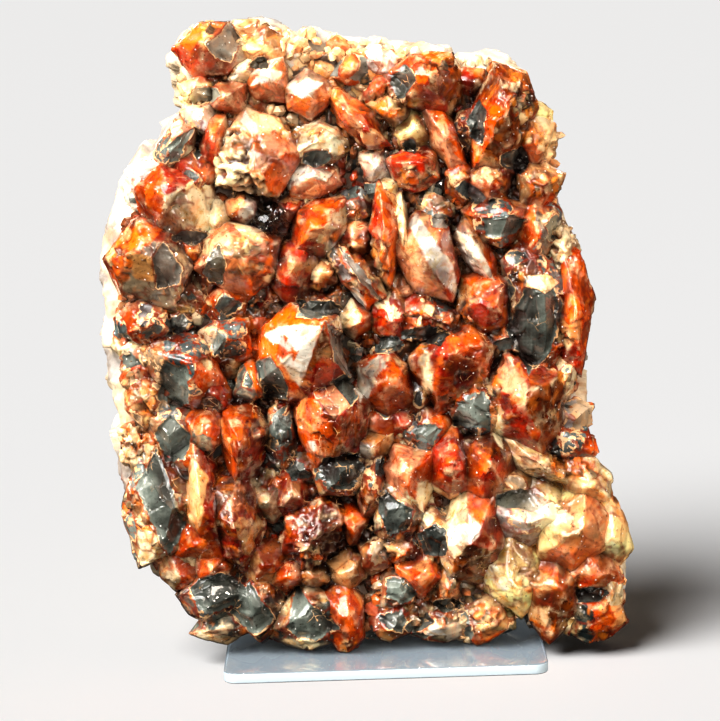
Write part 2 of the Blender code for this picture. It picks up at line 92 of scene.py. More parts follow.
# Crystals: (u, v, half width, half length, turn in degrees, height, tip's shift u, v, chip, looks).
# A chip is the broken face: (direction it faces, its tilt, share of the height at which it cuts, look).
# Looks name the finish of the sides, counterclockwise from the right, in as many sectors as letters, and
# end with ! where the skin is whole.
CRYSTALS = (
    # top left
    (-42.5, 165.5, 6.5, 7, 80, 15, -1, 2, None, "GGOORR!"), (-29, 166, 6.5, 4.5, 0, 8, 0, 0, None, "P!"),
    (-33, 160, 3, 5.5, 90, 9, 0, 0, None, "C!"), (-26.5, 156, 6, 5.5, 20, 14, 0, 2, None, "OWOR!"),
    (-38.5, 153, 5, 5, 10, 13, 0, 0, None, "R"), (-46, 155, 4.5, 3.5, 0, 10, 0, 0, (60, 30, 0.7, "G"), "C"),
    (-46, 147, 5, 4.5, 30, 12, 0, 0, (200, 25, 0.75, "G"), "W"),
    (-52, 141, 8.5, 4, 49, 13, 0, 0, (150, 20, 0.75, "S"), "C"),
    (-42.5, 141, 7, 4, 85, 14, 0, 0, None, "OORR!"), (-47, 132.5, 6, 5.5, 0, 13, 0, 0, None, "OR"),
    (-30, 137.5, 10, 10.5, 15, 20, 0, -2, (90, 38, 0.78, "V"), "OVFFFO!"),
    (-59.5, 130.5, 6.5, 7, 0, 8, 0, 0, None, "W!"),
    # top middle
    (-16.5, 152, 7, 5.5, 10, 15, 0, 1, None, "VWVO!"),
    (-14.5, 138.5, 6.5, 6, 0, 13, 0, 0, (270, 20, 0.75, "S"), "C!"),
    (-4, 146, 9.5, 4.5, -52, 16, 0, 0, None, "ROOR!"), (-3.5, 160, 5.5, 4, 0, 10, 0, 0, None, "O"),
    (4.5, 161, 5.5, 4, 0, 10, 0, 0, (90, 20, 0.7, "O"), "W"), (3, 154, 4, 4, 0, 10, 0, 0, None, "R"),
    (9.5, 154, 5, 6, 0, 13, 0, 0, (180, 30, 0.7, "K"), "G"),
    (17, 155.5, 7.5, 8, 20, 19, -1, 2, None, "BOOOR!"), (6, 147.5, 5, 4.5, 0, 12, 0, 0, None, "P!"),
    (11.5, 141.5, 5, 5, 0, 11, 0, 0, None, "Y!"), (13, 131.5, 7.5, 6.5, 5, 16, 0, 1, None, "R!"),
    (1, 133, 4.5, 4.5, 0, 10, 0, 0, None, "W"), (3, 126.5, 4.5, 4, 0, 10, 0, 0, None, "C"),
    (-15, 129, 6, 5, 10, 13, 0, 0, None, "VWV!"), (21, 140, 10, 4, -71, 13, 0, 0, None, "OOVV!"),
    (27, 155.5, 5, 4, 0, 10, 0, 0, None, "R!"),
    # top right
    (36, 146, 13.5, 7, 78, 21, 1, 4, None, "BOOORB!"),
    (28, 143, 4.5, 6, 0, 14, 0, 0, (190, 35, 0.72, "K"), "K"), (45, 126, 6, 6, 0, 14, 0, 0, None, "PPPO!"),
    (44.5, 139, 5.5, 7, 0, 12, 0, 0, None, "CCPO!"), (32, 127.5, 5.5, 6.5, 0, 14, 0, 0, None, "RV"),
    (39, 133.5, 4, 4.5, 0, 7, 0, 0, None, "K"), (24, 128, 4, 4.5, 0, 11, 0, 0, None, "O"),
    # upper left
    (-52.5, 122, 8.5, 9, 70, 19, -1, 3, None, "CROOGG!"), (-42, 119.5, 6.5, 3.5, 100, 11, 0, 0, None, "C!"),
    (-35.5, 123, 4, 4.5, 0, 12, 0, 0, None, "WR!"), (-27, 118.5, 6, 6.5, 0, 14, 0, 0, None, "g"),
    (-38.5, 108, 9.5, 10.5, 60, 20, 0, 2, None, "VVVVVO!"),
    (-45.5, 106, 5, 7, 0, 12, 0, 0, (200, 35, 0.7, "K"), "K"),
    (-60, 109.5, 9.5, 10.5, 25, 22, 2, 3, (300, 30, 0.86, "T"), "GROOTG!"),
    (-49, 112.5, 5, 4.5, 0, 13, 0, 0, None, "O"), (-56, 98, 6.5, 4, 0, 9, 0, 0, None, "Y!"),
    (-49, 99, 4, 4, 0, 9, 0, 0, None, "C"), (-62.5, 92.5, 6.5, 6, 0, 14, 0, 0, None, "OVOR"),
    (-53.5, 91.5, 5, 5, 0, 8, 0, 0, None, "K"), (-40.5, 97, 6, 5.5, 0, 12, 0, 0, (270, 25, 0.7, "K"), "O"),
    (-41, 86.5, 6.5, 7, 10, 15, 0, 1, (215, 30, 0.75, "S"), "OOPO"),
    # centre top
    (-22, 121, 4, 4, 0, 10, 0, 0, None, "R!"), (-14.5, 116, 7.5, 7, 15, 17, 0, 2, None, "COOR!"),
    (-4.5, 121.5, 5.5, 5, 0, 12, 0, 0, (90, 30, 0.75, "G"), "G"),
    (-4.5, 113, 5, 5.5, 0, 13, 0, 0, None, "VR!"), (-22, 105, 6, 8, 0, 15, 0, 1, None, "R!"),
    (-5, 104.5, 9.5, 4.5, -56, 16, 0, 0, None, "CGWO"), (-14.5, 104, 5, 5, 0, 11, 0, 0, None, "BC"),
    (-14, 95.5, 7, 4.5, 0, 10, 0, 0, (90, 15, 0.75, "S"), "G"),
    (3.5, 114, 12.5, 4.5, 88, 18, 0, 0, None, "OORV!"), (8.5, 113.5, 10.5, 3, 100, 15, 0, 0, None, "C!"),
    (15.5, 107.5, 8.5, 11, 15, 22, 0, 2, None, "RRVVVR!"),
    (17.5, 120, 5.5, 5, 0, 12, 0, 0, (60, 25, 0.7, "G"), "C"),
    (4.5, 91, 5, 6.5, 0, 13, 0, 0, None, "RCRR!"), (-5, 91, 5, 5, 0, 12, 0, 0, None, "OC!"),
    (14.5, 89.5, 8, 6.5, 0, 15, 0, 1, (265, 32, 0.75, "K"), "OROO"),
    (7, 100, 4.5, 4.5, 0, 9, 0, 0, None, "B"),
    # upper right
    (35, 116, 8.5, 6.5, 0, 16, 0, 1, (250, 28, 0.75, "S"), "OOBO"),
    (44.5, 114.5, 5.5, 7.5, 0, 14, 0, 0, None, "GOO"), (52, 108, 4, 7, 0, 9, 0, 0, None, "F"),
    (28, 108.5, 9.5, 4, -56, 15, 0, 0, None, "OPWP!"), (31, 95.5, 7, 7.5, 0, 16, 0, 1, None, "ROPR!"),
    (43.5, 93, 8.5, 14, 0, 18, 0, 2, (215, 22, 0.74, "S"), "OBSO"),
    (54, 91.5, 16, 5, 90, 15, 0, 0, None, "OOR!"), (35.5, 84.5, 5.5, 5, 0, 10, 0, 0, None, "BC"),
    (26, 90, 4.5, 4.5, 0, 10, 0, 0, None, "B"), (37, 105, 4, 4, 0, 8, 0, 0, None, "K"),
    # left
    (-64.5, 83, 5, 6, 0, 8, 0, 0, None, "C"),
    (-53.5, 79, 10, 9, 10, 18, 1, 3, (215, 30, 0.74, "S"), "OOPPO"),
    (-45.5, 71.5, 5.5, 5.5, 0, 13, 0, 0, None, "RK"), (-64, 71, 5.5, 6.5, 0, 11, 0, 0, None, "P"),
    (-56, 62.5, 7, 6.5, 0, 13, 0, 0, (120, 20, 0.75, "T"), "G"),
    (-48, 62, 5.5, 8, 0, 15, 0, 0, None, "OOS"), (-37.5, 60, 11.5, 6.5, 95, 19, 0, 0, None, "ROOR!"),
    (-66, 57.5, 4.5, 7, 0, 9, 0, 0, None, "F"),
    (-59, 42.5, 14, 9, 82, 18, 1, 0, (170, 26, 0.74, "S"), "YSC"),
    (-51, 54, 5.5, 5.5, 0, 14, 0, 0, None, "O!"), (-48, 42, 14, 6, 92, 21, 0, 0, None, "ROPO!"),
    (-39.5, 38.5, 14, 8, 95, 22, 0, 0, None, "RBBR!"), (-49.5, 33, 6.5, 6, 0, 17, 0, 0, None, "O!"),
    (-34, 75, 4.5, 5.5, 0, 12, 0, 0, None, "S"),
    # centre
    (-20.5, 79.5, 12.5, 12, 10, 29, 6.5, 11, None, "GGOORR!"),
    (-13, 64, 9.5, 11, -20, 24, 2, 3, (40, 40, 0.82, "S"), "RVROOB!"),
    (2.5, 72.5, 8.5, 8, 0, 17, 0, 1, None, "OOWO!"), (20, 78, 9, 10.5, -20, 20, 1, 2, None, "OOROR!"),
    (5, 84, 5.5, 4.5, 0, 10, 0, 0, (90, 15, 0.75, "K"), "S"), (0.5, 62.5, 5, 5, 0, 11, 0, 0, None, "O"),
    (6.5, 63.5, 4.5, 5, 0, 10, 0, 0, None, "R"), (13, 60, 7, 6, 0, 13, 0, 0, (90, 18, 0.72, "K"), "O"),
    (-2, 57, 5.5, 4.5, 0, 14, 0, 0, None, "PW!"),
    (-10.5, 50, 7, 7, 10, 19, 0, 0, (120, 22, 0.78, "K"), "S"), (-2.5, 45, 9, 4, 88, 16, 0, 0, None, "OB"),
    (9.5, 47.5, 7.5, 8.5, 20, 19, -1, 2, None, "OVVC!"),
    (4.5, 38.5, 7, 8, 0, 18, 0, 0, (250, 24, 0.76, "K"), "SCS"),
    (-26, 61, 5, 7.5, 0, 14, 0, 0, (180, 30, 0.72, "K"), "S"), (-22, 51, 5, 5, 0, 9, 0, 0, None, "K"),
    (12, 70, 5, 5, 0, 10, 0, 0, None, "B"),
    # right
    (27.5, 65, 8.5, 8, 0, 18, 0, 1, (230, 24, 0.76, "K"), "OSO"),
    (40, 66.5, 10, 10.5, 15, 22, 0, 2, None, "BRVRRR!"), (20, 50, 5.5, 9.5, 0, 18, 0, 1, None, "R!"),
    (29.5, 50, 6.5, 10, 0, 19, 0, 1, None, "RBOR!"), (53.5, 62.5, 5.5, 5, 0, 10, 0, 0, None, "PW"),
    (52, 55, 6.5, 5.5, 0, 13, 0, 0, (150, 30, 0.7, "B"), "O"),
    (44, 50.5, 10.5, 4.5, -28, 15, 0, 0, None, "YCCC!"), (55.5, 46, 8, 5.5, -30, 14, 0, 0, None, "CP!"),
    (36, 45, 6.5, 4, 0, 14, 0, 0, None, "P"), (40, 36.5, 12, 8, 10, 16, 0, 2, (100, 24, 0.76, "T"), "CW"),
    (51, 73, 3, 6, 0, 10, 0, 0, None, "C"), (46, 73.5, 5, 5, 0, 11, 0, 0, None, "R"),
    # bottom left
    (-45.5, 24.5, 5, 5, 0, 15, 0, 0, None, "O!"), (-56, 23.5, 5.5, 5.5, 0, 11, 0, 0, None, "OC"),
    (-46, 15.5, 9, 8.5, 10, 15, 0, 1, (170, 24, 0.76, "S"), "SG"),
    (-35, 13, 6.5, 8, 0, 15, 0, 1, (230, 24, 0.76, "K"), "K"), (-44.5, 8, 6.5, 4, 0, 8, 0, 0, None, "SSC!"),
    (-32, 25.5, 7, 6, 30, 14, 0, 0, None, "OP!"), (-30.5, 43, 5, 6, 0, 12, 0, 0, None, "C"),
    # bottom middle
    (-18, 32, 9, 9, 0, 19, 0, 0, None, "f"), (-24, 43, 6.5, 6, 0, 13, 0, 0, None, "R!"),
    (-26, 22.5, 5, 5, 0, 13, 0, 0, None, "O!"), (-19.5, 21.5, 4.5, 4.5, 0, 12, 0, 0, None, "P!"),
    (-9.5, 22.5, 6, 5.5, 0, 13, 0, 0, None, "P!"), (-2.5, 26.5, 5, 5.5, 0, 12, 0, 0, None, "P"),
    (-20.5, 9.5, 8.5, 9, 5, 16, 0, 2, (255, 24, 0.76, "S"), "SCS"),
    (-10, 10, 5.5, 9.5, 0, 14, 0, 0, None, "O!"), (-7, 35, 5, 5.5, 0, 14, 0, 0, None, "O"),
    (4, 16.5, 6, 6, 0, 12, 0, 0, (200, 24, 0.72, "S"), "S"), (10, 21.5, 6, 5.5, 0, 14, 0, 0, None, "O!"),
    (5, 28.5, 5, 4.5, 0, 12, 0, 0, (90, 35, 0.7, "W"), "K"),
    (15, 31, 6, 7, 0, 15, 0, 1, (240, 28, 0.74, "K"), "C"), (16, 6.5, 8, 4.5, 0, 9, 0, 0, None, "WK"),
    (2, 7.5, 7, 6, 0, 9, 0, 0, None, "KB"), (18, 17, 5, 5.5, 0, 12, 0, 0, None, "P"),
    # bottom right
    (24.5, 28, 12, 7.5, 88, 20, 0, 2, None, "ROCB!"), (37, 21, 8, 9, 0, 15, 0, 0, None, "YYCY!"),
    (28, 7.5, 8.5, 5.5, 0, 10, 0, 0, None, "YCO"), (53, 31.5, 8.5, 11, 0, 18, 0, 1, None, "OPPO!"),
    (46.5, 14, 7, 9.5, 0, 16, 0, 0, None, "BOB!"),
    (57.5, 21.5, 7, 6.5, 0, 14, 0, 0, (60, 25, 0.76, "V"), "OVO!"),
    (63, 30, 5, 7.5, 0, 11, 0, 0, None, "PC!"), (57.5, 8.5, 7.5, 6.5, 0, 12, 0, 0, None, "OK"),
    (62.5, 14, 4, 7, 0, 9, 0, 0, None, "C"), (50, 6.5, 5, 4, 0, 9, 0, 0, (250, 20, 0.7, "S"), "C"),
)
# Facets of the large crystal in the middle and the one below it: look and corners (u, v).
FACETS = (
    ("O", (-34, 92), (-22, 95), (-13, 93), (-22, 70), (-30, 66), (-36, 80)),
    ("B", (-13.5, 92), (-5, 84), (-8, 72), (-22, 68), (-21, 76)),
    ("G", (-13.5, 92.5), (-5, 86), (-7, 76), (-11.5, 80)),
    ("R", (-20.5, 75), (-14, 84), (-10, 79), (-9, 72), (-17, 68), (-25, 67)),
    # The white facet is a painted reflection of a lamp.
    ("W", (-30.5, 88.5), (-26, 91), (-14, 92), (-21, 73.5)),
    ("O", (-30.5, 88.5), (-26, 86), (-23, 83.8), (-25, 82), (-29, 84)),
    ("O", (-25, 89.2), (-23.2, 87.8), (-24.4, 85.8)), ("O", (-22.6, 85.4), (-21.2, 84.2), (-22.2, 81.8)),
    ("S", (-33.5, 81), (-28.5, 83.5), (-23.5, 74), (-24.5, 70), (-31, 70)),
    ("S", (-13, 75), (-8.5, 77.5), (-3.5, 72), (-8, 68)),
    ("V", (-17, 71.5), (-12, 74.5), (-7.5, 69), (-12, 65.5)),
    ("O", (-21.5, 70), (-16.5, 72), (-12.5, 62), (-17, 55), (-22, 60)),
    ("W", (-19.5, 59), (-17, 59.5), (-16.5, 56.5), (-18.5, 56)),
)
# Places where the finish changes over a part of a crystal: (u, v, half length, half width, turn, look).
# Cores there are broken faces, ringed by the skin's layers.
PATCHES = (
    # top left
    (-47, 170, 4.5, 3.0, 35, "O"), (-38.5, 167, 5.0, 4.0, 90, "G"), (-44, 160, 5.0, 3.0, 0, "R"),
    (-29, 162, 2.5, 2.0, 0, "K"), (-44, 153.5, 4.0, 2.0, 0, "S"), (-51.5, 140.5, 6.5, 2.4, 49, "S"),
    (-47, 138, 2.8, 1.6, 90, "K"), (-31, 146, 7.0, 2.6, 0, "V"), (-27, 158.5, 4.0, 1.8, 20, "W"),
    (-45.5, 119.5, 6.5, 1.6, 100, "C"), (-50, 115.5, 4.5, 2.6, 0, "G"),
    # top middle
    (-17, 154.5, 4.0, 1.8, 10, "W"), (-14.5, 135.5, 5.0, 2.2, 0, "S"), (9.5, 154, 5.0, 3.2, 90, "S"),
    (-1, 156, 2.2, 1.5, 90, "K"), (-5.5, 130.5, 6.5, 3.2, 90, "K"), (11, 138, 2.2, 2.0, 0, "K"),
    (29, 144, 5.5, 3.0, 90, "K"), (38.5, 133, 4.0, 3.8, 0, "K"), (41.5, 152, 5.0, 2.0, 80, "B"),
    # upper left
    (-43, 107, 5.5, 2.8, 80, "K"), (-32.5, 114.5, 5.5, 1.8, -50, "C"), (-63.5, 116, 6.0, 2.8, 10, "O"),
    (-62, 108, 4.2, 3.6, 90, "t"), (-55.5, 107, 6.0, 3.4, 90, "G"), (-40, 96.5, 3.2, 3.0, 0, "K"),
    (-43, 86, 3.4, 2.6, 90, "S"), (-56, 75.5, 6.5, 4.8, 90, "S"), (-53.5, 91, 3.5, 3.0, 0, "K"),
    # centre top
    # The white bar at (17.5, 107) is a painted highlight.
    (17.5, 107, 10.5, 2.3, -63, "W"), (11, 102, 4.5, 3.0, 70, "V"), (-7, 106, 8.0, 1.3, -56, "W"),
    (-3.5, 104, 8.0, 1.2, -56, "G"), (-14, 95, 6.0, 2.6, 0, "S"), (14.5, 86.5, 6.5, 3.0, 0, "K"),
    (15, 91.5, 6.5, 1.4, 5, "R"), (18, 117.5, 3.5, 2.2, 0, "G"), (4, 84, 4.5, 2.6, 0, "K"),
    # upper right
    (43.5, 90, 11.5, 5.6, 80, "S"), (44.5, 100, 3.4, 2.8, 0, "C"), (35, 116, 6.0, 3.6, 0, "S"),
    (50, 114, 4.0, 2.4, 90, "T"), (28, 107.5, 7.0, 1.5, -56, "W"),
    # left
    (-59, 43.5, 12.0, 7.2, 85, "S"), (-26, 61.5, 5.6, 3.6, 90, "K"), (-22, 50.5, 3.2, 3.0, 0, "K"),
    (-56, 61, 5.6, 4.4, 90, "S"), (-49.5, 46, 7.5, 2.4, 88, "P"), (-39, 44, 3.5, 2.0, 60, "V"),
    # middle
    (-10.5, 50, 5.8, 5.0, 0, "K"), (3.5, 39, 5.8, 4.6, 90, "K"), (13, 60, 3.8, 3.0, 0, "S"),
    (-4.5, 74, 4.0, 1.8, 90, "W"), (13, 43.5, 3.6, 3.0, 0, "C"), (13, 79, 7.0, 1.6, 95, "C"),
    # right
    (27.5, 65, 6.6, 5.2, 0, "S"), (34.5, 74, 3.8, 2.8, 0, "V"), (32, 63, 7.0, 1.5, 95, "C"),
    (37, 40.5, 5.5, 3.4, 0, "S"), (45, 36.5, 5.5, 2.8, 0, "W"), (48.5, 42, 4.0, 2.0, 0, "Y"),
    (57, 14, 4.5, 2.2, 0, "K"), (48, 54, 3.0, 1.8, 0, "K"), (22.5, 33, 4.0, 2.6, 20, "W"),
    # bottom
    (-46, 17, 7.0, 5.6, 20, "S"), (-36, 13, 7.0, 5.6, 90, "S"), (-20.5, 10, 8.0, 6.8, 90, "S"),
    (14.5, 30, 4.6, 3.6, 90, "K"), (5, 16.5, 4.0, 3.2, 0, "S"), (18, 12, 3.6, 2.2, 0, "S"),
    (3.5, 28.5, 3.2, 2.0, 20, "W"), (16.5, 5.5, 6.5, 1.5, 5, "W"), (3, 8, 3.6, 3.0, 0, "K"),
    (-24, 2.5, 5.0, 1.8, 0, "C"),
)
# Places where the druse is paler or darker all over: (u, v, reach, how much). The one at (15, 107) is
# painted light on a crystal that faces away from the lamps.
MOODS = (
    (-30, 162, 22, 0.4), (2, 162, 16, 0.3), (-36, 140, 16, 0.2), (53, 138, 9, 1.0), (42, 40, 12, 0.4),
    (54, 34, 12, 0.5), (36, 20, 11, 0.4), (67, 26, 7, 0.8), (-38, 109, 8, 0.5), (-63, 104, 10, 0.3),
    (-19, 44, 17, -0.4), (15, 107, 9, 0.5), (46, 160, 8, 0.4), (-70, 75, 12, 0.3), (-68, 38, 8, 0.3),
    (-42, 32, 22, -0.2), (-51, 153, 6, 1.0), (-15, 2, 16, 0.1), (18, 2, 16, 0.3), (-46, 12, 14, -0.1),
    (38, 124, 12, -0.35), (42, 84, 10, -0.25),
)
VIVID = 1.12               # how far all the druse's colours are pushed away from grey
CRYSTAL_SIDES = 6
ROOT = 0.4                 # how deep a crystal's foot lies over the crust's underside
SHOULDER = 0.36            # height of a crystal's upright sides, as a share of the whole
SHOULDER_RANGE = (0.75, 1.25)   # how much that differs from one corner to the next
SPREAD = 1.36              # how far the foot is wider than the sizes above
TAPER = 0.30               # how much of its width a crystal's side would lose over its whole height
UNEVEN = 0.24              # how far a corner strays, as a share of the half width
CUT_TOLERANCE = 0.0001     # mm, within which a corner counts as lying on the cut
SEED = 21

# Finishes: letter to the two colours that mottle each other and the one inside where it is broken, sRGB.
LOOKS = {
    "O": ("#F46C18", "#B83A08", "#37464A"),   # bright orange skin
    "R": ("#B4340E", "#621404", "#232C2E"),   # deep red skin
    "B": ("#84401A", "#38140A", "#1B2123"),   # rust brown skin
    "P": ("#F8C08A", "#DC7C36", "#C9A27C"),   # peach
    "V": ("#F4A480", "#D4643A", "#8A8084"),   # pink
    "C": ("#FAE8C4", "#E0A860", "#55605E"),   # cream
    "W": ("#FAF2E6", "#E4C8A8", "#A59A98"),   # milky white
    "Y": ("#EAD296", "#BE8A42", "#A8946A"),   # honey
    "F": ("#FAE6C0", "#E09A58", "#7A3418"),   # frothy crust
    "f": ("#A63A10", "#5E1A06", "#3A1208"),   # berry-like red crust
    "t": ("#B98A5A", "#8E6238", "#8E6238"),   # tan skin
    "T": ("#A09680", "#6E6250", "#5F6660"),   # taupe core
    "G": ("#86786E", "#463A36", "#5E6062"),   # smoky grey
    "g": ("#D8D2CC", "#8A8280", "#C9C4C0"),   # clear, pale
    "S": ("#66706A", "#38423E", "#525E5A"),   # slate core
    "K": ("#2A3331", "#121818", "#1B2222"),   # near-black core
}
LAYERS = ("tone", "under", "inner")       # where each of a finish's colours is stored on a piece
FROTHY = "Ff"
CORES = "SKTG"
# Colours of the small crystals that have grown into the faces of the large ones.
CRUMBS = ("#F4D8A8", "#F0701E", "#2A0E06", "#E8641A", "#8E2C0A", "#DA8A44", "#2C3432", "#5C1C0A")


def linear(code):
    """An sRGB hex colour as linear red, green and blue."""
    parts = [int(code[i:i + 2], 16) / 255.0 for i in (1, 3, 5)]
    return np.array([x / 12.92 if x <= 0.04045 else ((x + 0.055) / 1.055) ** 2.4 for x in parts])


def rgba(code):
    """The same with an alpha of 1."""
    return (*linear(code), 1.0)


# ---------------------------------------------------------------- noise on arrays of points

WORD = 0xFFFFFFFF          # the hash stays within 32 bits
SPREADERS = (374761393, 668265263, 1440662683)      # large odd numbers that set cells apart
SEED_SPREADER = 974634777
STIRS = ((13, 1274126177), (15, 2246822519))
LAST_BITS = 0x1000000


def hash_cells(cells, seed):
    """A repeatable random number from 0 to 1 for each whole-number cell."""
    c = cells.astype(np.int64)
    h = (sum(c[..., k] * spreader for k, spreader in enumerate(SPREADERS)) + seed * SEED_SPREADER) & WORD
    for shift, factor in STIRS:
        h = ((h ^ (h >> shift)) * factor) & WORD
    return ((h ^ (h >> 16)) & (LAST_BITS - 1)) / float(LAST_BITS)


def swell(points, size, seed, octaves=1):
    """Smooth noise from -1 to 1 with lumps of this size in mm."""
    total = np.zeros(len(points))
    reach = 0.0
    for octave in range(octaves):
        q = points / size * 2.0 ** octave
        base = np.floor(q)
        t = q - base
        t = t * t * (3.0 - 2.0 * t)
        value = np.zeros(len(points))
        for corner in itertools.product((0, 1), repeat=3):
            side = np.array(corner)
            weight = np.prod(np.where(side == 1, t, 1.0 - t), axis=1)
            value += weight * hash_cells(base + side, seed + octave)
        total += (value * 2.0 - 1.0) * 0.5 ** octave
        reach += 0.5 ** octave
    return total / reach


def relief(points, swells):
    """The sum of several swells: size in mm, seed, octaves and height of each."""
    return sum(swell(points, size, seed, octaves) * height for size, seed, octaves, height in swells)


def shards(points, size, seed):
    """Nearest scattered centre: distance to it, gap to the next one, its offset, and four random numbers."""
    q = points / size
    base = np.floor(q)
    best = np.full(len(q), 9.0)
    second = np.full(len(q), 9.0)
    offset = np.zeros((len(q), 3))
    owner = np.zeros((len(q), 3))
    for step in itertools.product((-1, 0, 1), repeat=3):
        cell = base + np.array(step)
        centre = cell + np.stack([hash_cells(cell, seed + k) for k in range(3)], axis=1)
        away = q - centre
        dist = np.sqrt((away * away).sum(axis=1))
        closer = dist < best
        second = np.where(closer, best, np.minimum(second, dist))
        best = np.where(closer, dist, best)
        offset[closer] = away[closer]
        owner[closer] = cell[closer]
    luck = np.stack([hash_cells(owner, seed + 11 + k) for k in range(4)], axis=1)
    return best * size, (second - best) * size, offset * size, luck


def smooth(low, high, x):
    """0 below low, 1 above high and an even curve between them."""
    t = np.clip((x - low) / (high - low), 0.0, 1.0)
    return t * t * (3.0 - 2.0 * t)


def mix(a, b, share):
    """Blend two arrays of colours, or a colour into an array."""
    return a * (1.0 - share[:, None]) + b * share[:, None]


# ---------------------------------------------------------------- from the stone's frame to the world


def stone_to_world(points):
    """Millimetres in the stone's frame to metres in the world."""
    u, v, w = points[:, 0], points[:, 1], points[:, 2]
    y = STONE_FOOT_Y + v * math.sin(LEAN) - w * math.cos(LEAN)
    z = PLATE_THICK + v * math.cos(LEAN) + w * math.sin(LEAN)
    return np.stack([u, y, z], axis=1) * MM


def world_to_stone(points):
    """Metres in the world to millimetres in the stone's frame."""
    x, y, z = points[:, 0] / MM, points[:, 1] / MM - STONE_FOOT_Y, points[:, 2] / MM - PLATE_THICK
    v = y * math.sin(LEAN) + z * math.cos(LEAN)
    w = -y * math.cos(LEAN) + z * math.sin(LEAN)
    return np.stack([x, v, w], axis=1)


def floor_of_face(w):
    """The lowest v that stays clear of the base plate at this distance from the face's plane."""
    return (GAP - w * math.sin(LEAN)) / math.cos(LEAN)


def read_points(mesh):
    """A mesh's vertices as an array."""
    flat = np.empty(len(mesh.vertices) * 3)
    mesh.vertices.foreach_get("co", flat)
    return flat.reshape(-1, 3)


def write_points(mesh, points):
    """Put an array back as the mesh's vertices."""
    mesh.vertices.foreach_set("co", points.ravel())
    mesh.update()


def read_normals(mesh):
    """A mesh's vertex normals as an array."""
    flat = np.empty(len(mesh.vertices) * 3, dtype=np.float32)
    mesh.vertex_normals.foreach_get("vector", flat)
    return flat.reshape(-1, 3).astype(float)


def keep_in_box(points):
    """Hold world points inside the solid model's box."""
    return np.clip(points, np.array(CAD_LOW) + BOX_INSET * MM, np.array(CAD_HIGH) - BOX_INSET * MM)


def store_colour(mesh, name, colours):
    """Save an array of linear colours on a mesh's vertices."""
    layer = mesh.attributes.new(name, "FLOAT_COLOR", "POINT")
    full = np.ones((len(colours), 4), dtype=np.float32)
    full[:, :3] = np.clip(colours, 0.0, 1.0)
    layer.data.foreach_set("color", full.ravel())


def store_value(mesh, name, values):
    """Save an array of numbers on a mesh's vertices."""
    layer = mesh.attributes.new(name, "FLOAT", "POINT")
    layer.data.foreach_set("value", np.asarray(values, dtype=np.float32))


def finish_piece(name, mesh, material, slot, *stands_for):
    """Shade and place a piece whose vertices are world metres, under the root body, hiding what it stands
    for.
    """
    mesh.materials.clear()
    mesh.materials.append(material)
    mesh.shade_smooth()
    piece = put_in_scene(name, mesh)
    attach(piece, "root")
    if stands_for:
        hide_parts(*stands_for)
    return piece


def put_in_scene(name, data):
    """A new object of this mesh, lamp or camera."""
    thing = bpy.data.objects.new(name, data)
    bpy.context.scene.collection.objects.link(thing)
    return thing


def close_bmesh(name, bm):
    """The bmesh as a new mesh."""
    mesh = bpy.data.meshes.new(name)
    bm.to_mesh(mesh)
    bm.free()
    return mesh


def evaluated_mesh(piece):
    """A plain mesh of the object with its modifiers, which then goes."""
    depsgraph = bpy.context.evaluated_depsgraph_get()
    mesh = bpy.data.meshes.new_from_object(piece.evaluated_get(depsgraph))
    bpy.data.objects.remove(piece, do_unlink=True)
    return mesh


# ---------------------------------------------------------------- crystals

MAIN_HEIGHT = 25.0         # a crystal taller than this is a main one, with even, uncrushed faces
# How often a crystal's faces are split, for a half size over so many mm: to about half a millimetre.
SPLITS = ((12.9, 5), (5.9, 4), (3.3, 3), (0.0, 2))
TALL = 23.0                # a crystal over this height is split as often as the largest
BASE_SLOPE = -0.5          # a face that looks further back than this is a crystal's base
SAME_WAY = 0.999           # cosine over which two directions count as one
HULL_REACH = 22.0          # no crystal reaches further from its middle
HULL_TOP = 40.0            # higher than any crystal

# The skyline's grid
GRID_U, GRID_V, GRID_STEP = (-80.0, 75.0), (-5.0, 180.0), 1.0
EVENING_PASSES = 16
CREVICE_SHADE = (-2.0, 3.5)      # depth below the evened skyline over which the painted shade sets in
RIM_LIGHT = (2.0, 8.0)     # distance from the slab's edge over which the painted shade in the crevices sets in

# Extra cuts: how they face and lean, in degrees, and how much of the crystal's size they take
TIP_FACES, TIP_SWAY, TIP_TILT, TIP_CUT = 3, 0.45, (34.0, 52.0), (0.10, 0.26)
SIDE_FACES, SIDE_TILT, SIDE_CUT = (1, 2, 3), (10.0, 70.0), (0.06, 0.30)

# Relief and pattern of the faces, mm
ROUND_OFF, MAIN_ROUND_OFF = (0.10, 0.26), 0.14      # radius of the ridges
RIDGE_LIT_AND_WORN = 0.45          # how far the painted highlight and wear reach from a ridge
CALM, MAIN_CALM = (0.3, 0.75), 0.25                 # how strong the relief is, as a share
FACET, FACET_LIMIT, GROOVE = 5.4, 0.9, 0.12         # growth facets: width, most rise, seam's depth
BROAD, BROAD_RISE = 8.0, 0.35                       # slow swells of a face: size, height
RIPPLE, RIPPLE_RISE = 1.6, 0.07                     # and its fine ripples
BORDER_WAVE, BORDER_REACH = 6.0, 2.2                # how the border between two finishes wanders
STREAK, STREAK_PULL = 1.5, 0.86                     # growth streaks: width, how far they are drawn out
SKIN_PLATE = 7.5           # plates in which the skin comes off
CORE_DEPTH, LAYER_RISE = 0.75, 0.15                 # core below the skin, and the layer's lip round it
ZONE_LIMIT = 6.0           # mm from the skin's break up to which it is counted
CRUSHED, CRUMB = 10.0, 2.7                          # crushed places, and the small crystals in them
CRUMB_LIMIT, CRUMB_GROOVE = 0.7, 0.35               # how far those stand out, and the grooves round them
FROTH_BUBBLE, BERRY_BUBBLE = 1.9, 1.5
BUBBLE_RISE, PIT_DEPTH = 0.9, 1.6
PATCH_REACH = (1.05, 1.5)  # how far a patch's corners stand out, as a share of its half sizes
PATCH_EDGE = ((2.4, 150, 2, 0.45), (7.0, 153, 1, 0.5))              # how its edge wanders
PATCH_ROOM = 3.0           # mm beyond a patch's corners where it surely has ended
CORE_ROOM, CORE_LEAD, CORE_RIM = 1.0, 0.6, 0.1      # a core: room round it, lead over others, its border
